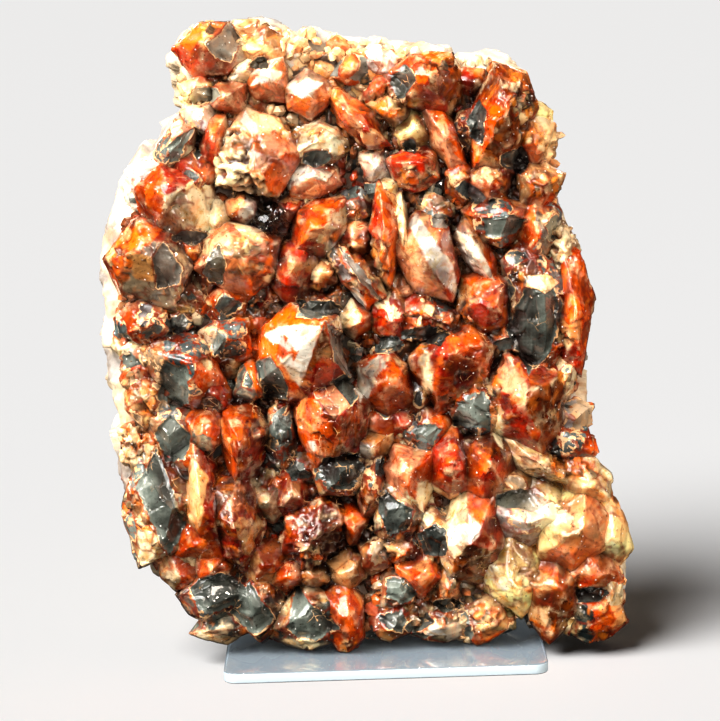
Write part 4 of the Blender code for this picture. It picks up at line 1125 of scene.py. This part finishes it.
def run_tree(piece, tree, **values):
    """Apply a node tree with these named inputs, and return the plain mesh."""
    grow = piece.modifiers.new("grow", "NODES")
    grow.node_group = tree
    for item in tree.interface.items_tree:
        if item.in_out == "INPUT" and item.name in values:
            grow[item.identifier] = values[item.name]
    return evaluated_mesh(piece)


def small_crystals(material, sky):
    """Many small crystals that line the hollows, and pale ones along the slab's rim."""
    seed = seed_crystal()
    tree = scatter_tree("small_crystal_growth")
    for name, band, spacing, smallest, largest, tilt, luck_seed, finishes in SMALL_KINDS:
        sheet = outline_band(*band, name == "rim_crystals")
        mesh = run_tree(sheet, tree, Crystal=seed, Spacing=spacing, Smallest=smallest, Largest=largest,
                        Tilt=tilt, Seed=luck_seed, Material=material)
        points = read_points(mesh)
        luck = np.empty(len(points), dtype=np.float32)
        mesh.attributes["luck"].data.foreach_get("value", luck)
        pick = (luck * len(finishes)).astype(int) % len(finishes)
        dice = shards(points, CRUMB_CELL, 15)[3]
        points = points + read_normals(mesh) * relief(points, CRUMB_SWELLS)[:, None]
        points[:, 1] = np.maximum(points[:, 1], floor_of_face(points[:, 2]))
        write_points(mesh, keep_in_box(stone_to_world(points)))
        shade = 0.7 + 0.5 * dice[:, 3:4]
        paler = np.clip(mood_at(points) * 1.6 - 1.6, 0.0, 0.85)
        for number, layer in enumerate(LAYERS):
            palette = np.array([linear(LOOKS[letter][number]) for letter in finishes])
            store_colour(mesh, layer, mix(palette[pick], linear(PALE_CRUMB), paler) * shade)
        store_value(mesh, "zone", np.full(len(points), -ZONE_LIMIT))
        store_value(mesh, "ridge", np.zeros(len(points)))
        # painted shade in the crevices, partly the dark iron oxide of the hollows
        store_value(mesh, "deep", depth_below(sky, points))
        finish_piece(name, mesh, material, "iron_stained_quartz", "crystals")
        mesh.shade_flat()
    bpy.data.objects.remove(seed, do_unlink=True)


# ---------------------------------------------------------------- host rock

# mm
ROCK_VOXEL = 0.95
MERGED = 0.01              # the solid's loose triangles are joined within this
FRONT = (-1.2, -0.2)       # where the slab's face begins, from its back
LARGE_FACE, SMALL_FACE = 15.0, 5.0                  # broken faces
LARGE_STEP, SMALL_STEP = (0.6, 2.4), (0.4, 0.5)     # how far they tilt, and the most they stand out
FACE_BEND, FACE_BEND_REACH = 9.0, 1.2               # how their borders wander: size, reach
ROCK_SWELLS = ((12.0, 41, 2, 0.7), (1.9, 47, 2, 0.06))
SEAM_WIDTH, SEAM_DEPTH, PIT = 0.4, 0.2, (3.1, 0.6)  # pits: size, depth
BED_LIFT, BED_ROUGH, BED_LUMP = 1.6, 1.3, 4.0       # how far the bed of the druse stands out
BANDS_UP, BANDS_OUT = 0.22, 0.3                     # radians of the grey bands for each mm up and out
BAND_BEND, BAND_BEND_REACH, BAND_RIPPLE = 30.0, 9.0, 5.0            # how they bend
CREAM, GREY, BED_SHADE = "#DACBB2", "#8F8B8A", "#3A120A"
# Stains: colour, size, seed, the noise from and to which they show, and how strong they are.
WHITE = ("#E0DAD2", 9.0, 71, 0.0, 0.4, 1.0)
TAN = ("#C0966A", 13.0, 79, 0.15, 0.55, 0.75)
RUST = ("#A8502A", 6.5, 83, 0.32, 0.62, 0.65)
UNDER_ROCK = (0.84, 0.76, 0.68)                     # the mottle's darker tone, as a share of the tone


def even_rock():
    """The solid slab as a mesh of small even faces."""
    bm = bmesh.new()
    bm.from_mesh(bpy.data.objects["matrix"].data)
    bmesh.ops.remove_doubles(bm, verts=bm.verts, dist=MERGED * MM)
    bmesh.ops.recalc_face_normals(bm, faces=bm.faces)
    block = put_in_scene("rock_block", close_bmesh("rock_block", bm))
    even = block.modifiers.new("even_out", "REMESH")
    even.mode = "VOXEL"
    even.voxel_size = ROCK_VOXEL * MM
    return evaluated_mesh(block)


def stain(tone, points, colour, size, seed, low, high, share):
    """Lay one kind of stain over the rock."""
    return mix(tone, linear(colour), smooth(low, high, swell(points, size, seed, 3)) * share)


def host_rock(material):
    """The slab: rough broken rock with pale bands, dark where the druse grows from it."""
    mesh = even_rock()
    points = world_to_stone(read_points(mesh))
    # a direction turns as a place does, seen from the frame's own origin
    normals = world_to_stone(read_normals(mesh) * MM + np.array([0.0, STONE_FOOT_Y, PLATE_THICK]) * MM)
    front = smooth(*FRONT, points[:, 2])
    waves = [swell(points, FACE_BEND, 33 + k, 2) for k in range(3)]
    bent = points + np.stack(waves, axis=1) * FACE_BEND_REACH
    _near, seam, offset, luck = shards(bent, LARGE_FACE, 31)
    _near, _seam, small_offset, small_luck = shards(bent, SMALL_FACE, 37)
    rise = 0.0
    for (tilt, most), away, dice in ((LARGE_STEP, offset, luck), (SMALL_STEP, small_offset, small_luck)):
        rise = rise + np.clip(((dice[:, :3] - 0.5) * tilt * away).sum(axis=1), -most, most)
    rise += relief(points, ROCK_SWELLS)
    rise -= np.exp(-seam / SEAM_WIDTH) * SEAM_DEPTH
    pits = smooth(0.55, 0.8, swell(points, PIT[0], 53, 2))
    rise -= pits * PIT[1]
    lift = front * (BED_LIFT + BED_ROUGH * swell(points, BED_LUMP, 57, 2))
    points = points + normals * np.where(front > 0.5, lift, rise)[:, None]
    points[:, 2] = np.maximum(points[:, 2], -ROCK_DEPTH)
    points[:, 1] = np.maximum(points[:, 1], floor_of_face(points[:, 2]))

    # cream rock with white clouds, grey bands, tan and rust stains, and darker seams and pits
    band = BANDS_OUT * points[:, 2] + BANDS_UP * points[:, 1]
    band = band + BAND_BEND_REACH * swell(points, BAND_BEND, 61, 2) + swell(points, BAND_RIPPLE, 67, 2)
    tone = stain(np.tile(linear(CREAM), (len(points), 1)), points, *WHITE)
    grey = smooth(0.2, 0.5, np.sin(band) * 0.45 + 0.7 * swell(points, 7.0, 73, 3)) * 0.9
    tone = mix(tone, linear(GREY), grey)
    tone = stain(tone, points, *TAN)
    tone *= 0.88 + 0.2 * small_luck[:, 3:4]
    tone = stain(tone, points, *RUST)
    tone = mix(tone, tone * 0.45, np.exp(-seam / 0.35) * 0.6)
    tone = mix(tone, tone * 0.6, pits * 0.7)
    inside = depth_in_outline(points[:, 0], points[:, 1]) + 2.0 * swell(points, 5.0, 87, 2)
    tone = mix(tone, linear(BED_SHADE), front * smooth(2.5, 7.0, inside) * 0.85)
    write_points(mesh, keep_in_box(stone_to_world(points)))
    store_colour(mesh, "tone", tone)
    store_colour(mesh, "under", tone * np.array(UNDER_ROCK))
    finish_piece("host_rock", mesh, material, "host_rock", "matrix")


# ---------------------------------------------------------------- stand

CORNER_STEPS, POLISH_STEPS = 12, 4                  # facets of each rounding
SHARP = math.radians(60)   # edges of the sheet that are polished are at least this sharp
CREASE = math.radians(35)  # edges that are shaded sharp


def polished_sheet(name, bm, corners, radius, finishes, to_world, node):
    """A piece of acrylic sheet with rounded corners, drawn in millimetres. Its faces take the first finish
    and its sawn edges the second. It is seen, but it neither shades nor colours the stone."""
    bmesh.ops.bevel(bm, geom=corners, offset=radius, segments=CORNER_STEPS, profile=0.5, affect="EDGES")
    rims = [e for e in bm.edges if len(e.link_faces) == 2 and e.calc_face_angle() > SHARP]
    bmesh.ops.bevel(bm, geom=rims, offset=EDGE_POLISH, segments=POLISH_STEPS, profile=0.5, affect="EDGES")
    bmesh.ops.recalc_face_normals(bm, faces=bm.faces)
    sawn = [abs(face.normal.z) < 0.5 for face in bm.faces]
    mesh = close_bmesh(name, bm)
    write_points(mesh, to_world(read_points(mesh)))
    piece = finish_piece(name, mesh, finishes[0], "clear_acrylic", node)
    mesh.materials.append(finishes[1])
    mesh.polygons.foreach_set("material_index", np.array(sawn, dtype=np.int32))
    mesh.set_sharp_from_angle(angle=CREASE)
    piece.visible_shadow = False
    piece.visible_glossy = False
    piece.visible_diffuse = False


def stand_base(finishes):
    """The clear base plate."""
    bm = bmesh.new()
    bmesh.ops.create_cube(bm, size=1.0)
    bmesh.ops.scale(bm, vec=(PLATE_SIDE, PLATE_SIDE, PLATE_THICK), verts=bm.verts)
    bmesh.ops.translate(bm, vec=(0, 0, PLATE_THICK * 0.5), verts=bm.verts)
    upright = [e for e in bm.edges if e.verts[0].co.z != e.verts[1].co.z]
    polished_sheet("stand_plate", bm, upright, PLATE_CORNER, finishes, lambda points: points * MM,
                   "stand_base")


def stand_back(finishes):
    """The clear rest behind the stone."""
    bm = bmesh.new()
    bmesh.ops.create_cube(bm, size=1.0)
    front = -ROCK_DEPTH - GAP
    for vert in bm.verts:
        vert.co.x = math.copysign(REST_WIDTH * 0.5, vert.co.x)
        vert.co.z = front if vert.co.z > 0 else front - PLATE_THICK
        vert.co.y = REST_HEIGHT if vert.co.y > 0 else floor_of_face(vert.co.z)
    corners = [e for e in bm.edges
               if all(x.co.y == REST_HEIGHT for x in e.verts) and e.verts[0].co.x == e.verts[1].co.x]
    polished_sheet("stand_rest", bm, corners, REST_CORNER, finishes, stone_to_world, "stand_back")


# ---------------------------------------------------------------- materials

BUMP_HEIGHT = 0.4 * MM


def per_mm(size):
    """The scale of a pattern whose features are this many millimetres across."""
    return 1.0 / (size * MM)


def new_material(name):
    """A node material: itself, its tree and its Principled shader."""
    material = bpy.data.materials.new(name)
    material.use_nodes = True
    return material, material.node_tree, material.node_tree.nodes["Principled BSDF"]


def place_on_piece(tree):
    """Where on the piece a material is looked up, in metres."""
    return add_node(tree, "ShaderNodeTexCoord").outputs["Object"]


def stored_on_piece(tree, name):
    """A value or colour that is stored on the piece's vertices."""
    return add_node(tree, "ShaderNodeAttribute", (("attribute_name", name),)).outputs


def noise(tree, place, size, detail, *more):
    """Noise whose lumps are about this many millimetres across."""
    return add_node(tree, "ShaderNodeTexNoise", (), (
        ("Vector", place), ("Scale", per_mm(size)), ("Detail", detail), *more)).outputs


def ramp(tree, value, low, high, at_low=0.0, at_high=1.0):
    """The range from low to high drawn out to another one, and held at its ends."""
    return add_node(tree, "ShaderNodeMapRange", (), (
        ("Value", value), ("From Min", low), ("From Max", high), ("To Min", at_low),
        ("To Max", at_high))).outputs[0]


def coat(tree, colour, share, tint):
    """A share of the tint over the colour."""
    return add_node(tree, "ShaderNodeMix", (("data_type", "RGBA"),),
                    ((0, share), (6, colour), (7, tint))).outputs[2]


def fine_relief(tree, strength, height):
    """The way out of a surface with a fine relief."""
    return add_node(tree, "ShaderNodeBump", (), (("Strength", strength), ("Distance", BUMP_HEIGHT),
                                                 ("Height", height))).outputs[0]


QUARTZ_NOISES = (
    # name, size of its lumps in mm, detail, roughness, distortion
    ("mottle", 4.2, 6.0, 0.62, 0.8), ("flame", 7.5, 3.0, 0.5, 1.5), ("bruise", 11.0, 3.0, 0.5, 0.5),
    ("wear_and_highlight", 3.8, 4.0, 0.6, 0.0), ("wobble", 1.6, 3.0, 0.5, 0.0), ("cloud", 5.0, 5.0, 0.65, 1.0),
    ("shadow", 9.0, 2.0, 0.5, 0.0), ("layer", 3.0, 2.0, 0.5, 0.0), ("gap", 5.0, 3.0, 0.5, 0.0),
    ("net", 6.0, 2.0, 0.5, 0.0), ("soot", 0.9, 2.0, 0.5, 0.0), ("grain", 1.3, 4.0, 0.5, 0.0),
)
RINGS = (("ring", 0.2), ("second ring", 1.15))      # layers round a core: the zone at each one's middle
QUARTZ_MASKS = (
    # name, what it reads, from, to, value there, value there
    ("mottle", "mottle", 0.36, 0.52, 0.15, 1.0), ("flame", "flame", 0.52, 0.68, 0.0, 0.75),
    ("bruise", "bruise", 0.30, 0.46, 0.7, 0.0), ("wear_and_highlight", "wear_and_highlight", 0.49, 0.62, 0.0, 0.7),
    ("cloud", "cloud", 0.38, 0.66, 0.0, 0.6), ("shadow", "shadow", 0.36, 0.52, 0.7, 0.0),
    ("core", "zone", 0.3, 0.4, 0.0, 1.0), ("rust", "zone", -0.5, 0.0, 0.0, 0.8),
    ("ring", "ring", 0.12, 0.20, 1.0, 0.0), ("second ring", "second ring", 0.05, 0.10, 0.7, 0.0),
    ("gap", "gap", 0.48, 0.56, 0.0, 1.0), ("net", "net", 0.60, 0.68, 0.0, 1.0),
    # dark: painted shade in the crevices, partly the dark iron oxide of the hollows
    ("hollow", "deep", 0.15, 0.5, 0.0, 0.9), ("dark", "deep", 0.0, 1.0, 0.0, 0.96),
    # the specks are painted glints
    ("crack", "cracks", 0.010, 0.032, 0.85, 0.0), ("speck", "painted_glint", 0.08, 0.16, 1.0, 0.0),
    ("lucky", "painted_glint_luck", 0.62, 0.70, 0.0, 0.95), ("soot", "soot", 0.28, 0.36, 0.75, 0.0),
)
# Masks that are the product of two others.
QUARTZ_PRODUCTS = (
    # the ridges' mask carries painted highlight mixed with wear
    ("lit_and_worn", "ridge", "wear_and_highlight"), ("rings", "ring", "gap"), ("inner rings", "second ring", "net"),
    # the specks' mask below is painted glints
    ("thread", "crack", "net"), ("threads", "thread", "hollow"), ("painted_glint", "speck", "lucky"),
)
CRACK_NET, CRACK_BEND, CRACK_PULL = 3.4, 3.0, 2.2   # mm: mesh of the threads' net, its bends' size and reach
# spacing of the painted glints
PAINTED_GLINT_SPACING = 1.7        # mm


def quartz_masks(tree, place, stored):
    """Everything that decides where the quartz is skin, layer or core, and where it takes painted glints and
    painted shade: its noises and its masks.
    """
    reads = {"deep": stored["deep"]["Fac"]}
    for name, size, detail, rough, twist in QUARTZ_NOISES:
        reads[name] = noise(tree, place, size, detail, ("Roughness", rough), ("Distortion", twist))["Fac"]
    bent = calculate(tree, "MULTIPLY_ADD", reads["wobble"], 1.0, stored["zone"]["Fac"])
    reads["zone"] = calculate(tree, "SUBTRACT", bent, 0.5)
    for name, middle in RINGS:
        reads[name] = calculate(tree, "ABSOLUTE", calculate(tree, "SUBTRACT", reads["zone"], middle))
    swirl = noise(tree, place, CRACK_BEND, 2.0)["Color"]
    pull = add_node(tree, "ShaderNodeVectorMath", (("operation", "SCALE"),),
                    ((0, swirl), ("Scale", CRACK_PULL * MM)))
    pulled = add_node(tree, "ShaderNodeVectorMath", (("operation", "ADD"),),
                      ((0, place), (1, pull.outputs[0])))
    reads["cracks"] = add_node(tree, "ShaderNodeTexVoronoi", (("feature", "DISTANCE_TO_EDGE"),), (
        ("Vector", pulled.outputs[0]), ("Scale", per_mm(CRACK_NET)))).outputs["Distance"]
    painted_glint = add_node(tree, "ShaderNodeTexVoronoi", (), (("Vector", place), ("Scale", per_mm(PAINTED_GLINT_SPACING))))
    reads["painted_glint"], reads["painted_glint_luck"] = painted_glint.outputs["Distance"], painted_glint.outputs["Color"]
    masks = {}
    for name, source, low, high, at_low, at_high in QUARTZ_MASKS:
        masks[name] = ramp(tree, reads[source], low, high, at_low, at_high)
    masks["ridge"] = stored["ridge"]["Fac"]
    for name, first, second in QUARTZ_PRODUCTS:
        masks[name] = calculate(tree, "MULTIPLY", masks[first], masks[second])
    return reads, masks


def iron_stained_quartz():
    """Quartz under a glossy iron oxide skin, wet-looking. Where the skin is broken, its thin cream and rust
    layers ring a dark core, and fine pale threads cross the hollows. Painted glints make white specks and
    soot makes dark ones. The ridges carry painted highlight mixed with wear, and the crevices painted
    shade, partly the dark iron oxide of the hollows."""
    material, tree, shader = new_material("iron_stained_quartz")
    place = place_on_piece(tree)
    stored = {name: stored_on_piece(tree, name) for name in (*LAYERS, "zone", "deep", "ridge")}
    tone, under, inner = (stored[name]["Color"] for name in LAYERS)
    reads, masks = quartz_masks(tree, place, stored)

    def coats(colour, *layers):
        for mask, tint in layers:
            colour = coat(tree, colour, masks[mask], tint)
        return colour

    # the ridges are lightened: painted highlight, mixed with wear
    skin = coats(coat(tree, under, masks["mottle"], tone),
                 ("flame", coat(tree, tone, 0.6, rgba("#FA8A2C"))), ("bruise", rgba("#380E06")),
                 ("lit_and_worn", coat(tree, tone, 0.7, rgba("#FFE4B8"))), ("rust", rgba("#7A2408")))
    core = coats(inner, ("cloud", rgba("#8E9690")), ("shadow", rgba("#0A0E0F")))
    layer = coat(tree, rgba("#F8E6BE"), reads["layer"], rgba("#E89A4E"))
    # painted shade darkens the crevices, partly the dark iron oxide of the hollows
    colour = coats(skin, ("core", core), ("rings", layer), ("inner rings", layer), ("dark", rgba("#140604")),
                   # painted glints make the white specks
                   ("threads", layer), ("painted_glint", rgba("#FFFFFF")), ("soot", rgba("#1C0B07")))
    gloss = ramp(tree, reads["mottle"], 0.3, 0.7, 0.22, 0.42)
    way_out = fine_relief(tree, 0.6, reads["grain"])
    set_inputs(tree, shader, (("Base Color", colour), ("Roughness", gloss), ("Normal", way_out),
                              ("IOR", 1.55), ("Specular IOR Level", 0.25), ("Coat Weight", 1.0),
                              ("Coat Roughness", 0.04)))
    return material


def clear_quartz():
    """Clear, faintly smoky quartz: see-through, with a few veils inside."""
    material, tree, shader = new_material("clear_quartz")
    place = place_on_piece(tree)
    hue = coat(tree, rgba("#FFFFFF"), noise(tree, place, 4.0, 4.0)["Fac"], rgba("#E4D6CC"))
    way_out = fine_relief(tree, 0.12, noise(tree, place, 1.5, 3.0)["Fac"])
    set_inputs(tree, shader, (("Base Color", hue), ("Normal", way_out), ("Roughness", 0.06),
                              ("IOR", 1.544), ("Transmission Weight", 1.0)))
    return material


def chalcedony_rock():
    """Broken chalcedony and quartz rock: waxy to dull, pale, banded, with fine pits."""
    material, tree, shader = new_material("chalcedony_rock")
    place = place_on_piece(tree)
    tone, under = (stored_on_piece(tree, name)["Color"] for name in ("tone", "under"))
    mottle = noise(tree, place, 3.0, 6.0, ("Roughness", 0.65))["Fac"]
    colour = coat(tree, under, ramp(tree, mottle, 0.40, 0.58), tone)
    gloss = ramp(tree, mottle, 0.3, 0.7, 0.62, 0.38)
    way_out = fine_relief(tree, 0.5, noise(tree, place, 1.2, 6.0, ("Roughness", 0.7))["Fac"])
    set_inputs(tree, shader, (("Base Color", colour), ("Roughness", gloss), ("Normal", way_out),
                              ("IOR", 1.54)))
    return material


def acrylic(name, tint, clearness, smoothest, roughest):
    """Cast acrylic sheet. Its faces are polished and see-through, with a faint blue haze and rubbed places.
    Its sawn edges are satin, pale blue and hardly see-through."""
    material, tree, shader = new_material(name)
    place = place_on_piece(tree)
    gloss = ramp(tree, noise(tree, place, 6.0, 5.0)["Fac"], 0.4, 0.8, smoothest, roughest)
    set_inputs(tree, shader, (("Roughness", gloss), ("Base Color", rgba(tint)), ("IOR", 1.49),
                              ("Transmission Weight", clearness)))
    return material


# ---------------------------------------------------------------- stage

CAMERA_PLACE = (-4.4, -825.0, 232.6)                # mm
CAMERA_DOWN = math.radians(10.5)
CAMERA_ROLL = math.radians(1.8)
FOCAL_PIXELS = 3000.0
FRAME_PIXELS = 721.0
SENSOR = 36.0              # mm
AIM = (0.0, 0.0, 0.085)    # the stone's middle, metres
FLOOR_DROP = 0.4           # mm that the floor lies under the plate
FLOOR_SIDE = 30.0          # metres
WARM_WHITE = "#FFF3E4"
SUN_POWER, SUN_WIDTH = 3.5, math.radians(40.0)
SUN_TRAVEL = (0.62, 0.50, -0.85)                    # the way its light goes
# Soft lamps: name, place in metres, side in metres, watts.
LAMPS = (
    ("overhead_left", (-0.60, -0.40, 0.80), 0.32, 11.5), ("front_right", (0.75, -0.75, 0.40), 0.22, 0.7),
    ("left_edge", (-1.0, 0.1, 0.35), 0.30, 1.2), ("right_edge", (1.0, 0.1, 0.35), 0.30, 2.0),
    ("back", (0.4, 1.1, 0.7), 0.60, 9.0),
)
# Small lamps that show as glints on the gloss: kind, side in metres, watts, places in metres.
GLINTS = (
    ("glare", 0.13, 1.1, ((-0.42, -0.70, 0.62), (0.10, -0.85, 0.55), (0.60, -0.35, 0.55),
                          (-0.85, -0.25, 0.40), (0.30, 1.0, 0.50), (-0.5, 0.9, 0.6))),
    ("spark", 0.04, 0.8, ((-0.30, -0.95, 0.48), (0.30, -0.90, 0.60), (0.05, -0.45, 0.95),
                          (-0.70, -0.75, 0.30), (0.55, -0.60, 0.75), (-0.45, -0.55, 0.85),
                          (0.00, -1.00, 0.25), (0.75, -0.50, 0.45), (-0.15, -0.75, 0.80),
                          (0.45, -0.95, 0.35), (-0.55, -0.85, 0.55), (0.20, -0.60, 0.95),
                          (-0.80, -0.50, 0.60), (0.15, -1.05, 0.40), (-0.20, -1.05, 0.30),
                          (0.65, -0.70, 0.25))),
)


def camera():
    """The camera, a little above the specimen's middle."""
    data = bpy.data.cameras.new("camera")
    data.sensor_width = SENSOR
    data.lens = SENSOR * FOCAL_PIXELS / FRAME_PIXELS
    data.clip_start = 0.05
    data.clip_end = 50.0
    eye = put_in_scene("camera", data)
    eye.location = Vector(CAMERA_PLACE) * MM
    tilt = Matrix.Rotation(math.radians(90.0) - CAMERA_DOWN, 4, "X")
    eye.rotation_euler = (tilt @ Matrix.Rotation(-CAMERA_ROLL, 4, "Z")).to_euler()
    bpy.context.scene.camera = eye


def area_light(name, place, size, power, reached, mirrored):
    """A square soft light that faces the stone's middle and spares the floor. Places in metres. Only the
    mirrored ones show as glints."""
    data = bpy.data.lights.new(name, "AREA")
    data.shape = "SQUARE"
    data.size = size
    data.energy = power
    data.color = linear(WARM_WHITE)
    lamp = put_in_scene(name, data)
    lamp.location = place
    lamp.visible_glossy = mirrored
    lamp.light_linking.receiver_collection = reached
    lamp.rotation_euler = (Vector(AIM) - Vector(place)).to_track_quat("-Z", "Y").to_euler()


def pale_floor():
    """The plain pale floor, which the gloss doesn't mirror."""
    bpy.ops.mesh.primitive_plane_add(size=FLOOR_SIDE, location=(0.0, 0.0, -FLOOR_DROP * MM))
    floor = bpy.context.object
    floor.name = "floor"
    material, tree, shader = new_material("pale_floor")
    set_inputs(tree, shader, (("Base Color", rgba("#F2F1F0")), ("Roughness", 0.8),
                              ("Specular IOR Level", 0.2)))
    floor.data.materials.append(material)
    floor.visible_glossy = False
    floor.visible_diffuse = False
    return floor


def surround():
    """The pale surround: seen as it is, and only faintly lighting the stone."""
    world = bpy.data.worlds.new("surround")
    world.use_nodes = True
    bpy.context.scene.world = world
    tree = world.node_tree
    seen = tree.nodes["Background"]
    set_inputs(tree, seen, (("Color", rgba("#DEDEDF")),))
    soft = add_node(tree, "ShaderNodeBackground", (), (("Color", rgba("#DADDE2")), ("Strength", 0.04)))
    path = add_node(tree, "ShaderNodeLightPath")
    both = add_node(tree, "ShaderNodeMixShader", (), ((0, path.outputs["Is Camera Ray"]),
                                                      (1, soft.outputs[0]), (2, seen.outputs[0])))
    tree.links.new(both.outputs[0], tree.nodes["World Output"].inputs[0])


def studio():
    """A pale floor, a pale surround and soft lights."""
    floor = pale_floor()
    surround()
    sun = bpy.data.lights.new("daylight", "SUN")
    sun.energy = SUN_POWER
    sun.angle = SUN_WIDTH
    put_in_scene("daylight", sun).rotation_euler = Vector(SUN_TRAVEL).to_track_quat("-Z", "Y").to_euler()
    spared = bpy.data.collections.new("spared_by_the_lamps")
    spared.objects.link(floor)
    spared.collection_objects[0].light_linking.link_state = "EXCLUDE"
    for name, place, size, power in LAMPS:
        area_light(name, place, size, power, spared, False)
    for kind, size, power, places in GLINTS:
        for number, place in enumerate(places):
            area_light(f"{kind}_{number}", place, size, power, spared, True)
    bpy.context.scene.view_settings.view_transform = "Standard"
    bpy.context.scene.view_settings.look = "Medium High Contrast"


def main():
    """Build every piece round the loaded frame."""
    camera()
    studio()
    skin = iron_stained_quartz()
    sky = druse(skin, clear_quartz())
    small_crystals(skin, sky)
    host_rock(chalcedony_rock())
    sheet = (acrylic("clear_acrylic_sheet", "#C8DAEA", 0.85, 0.015, 0.10),
             acrylic("sawn_acrylic_edge", "#D2E6F4", 0.35, 0.30, 0.45))
    stand_base(sheet)
    stand_back(sheet)


main()
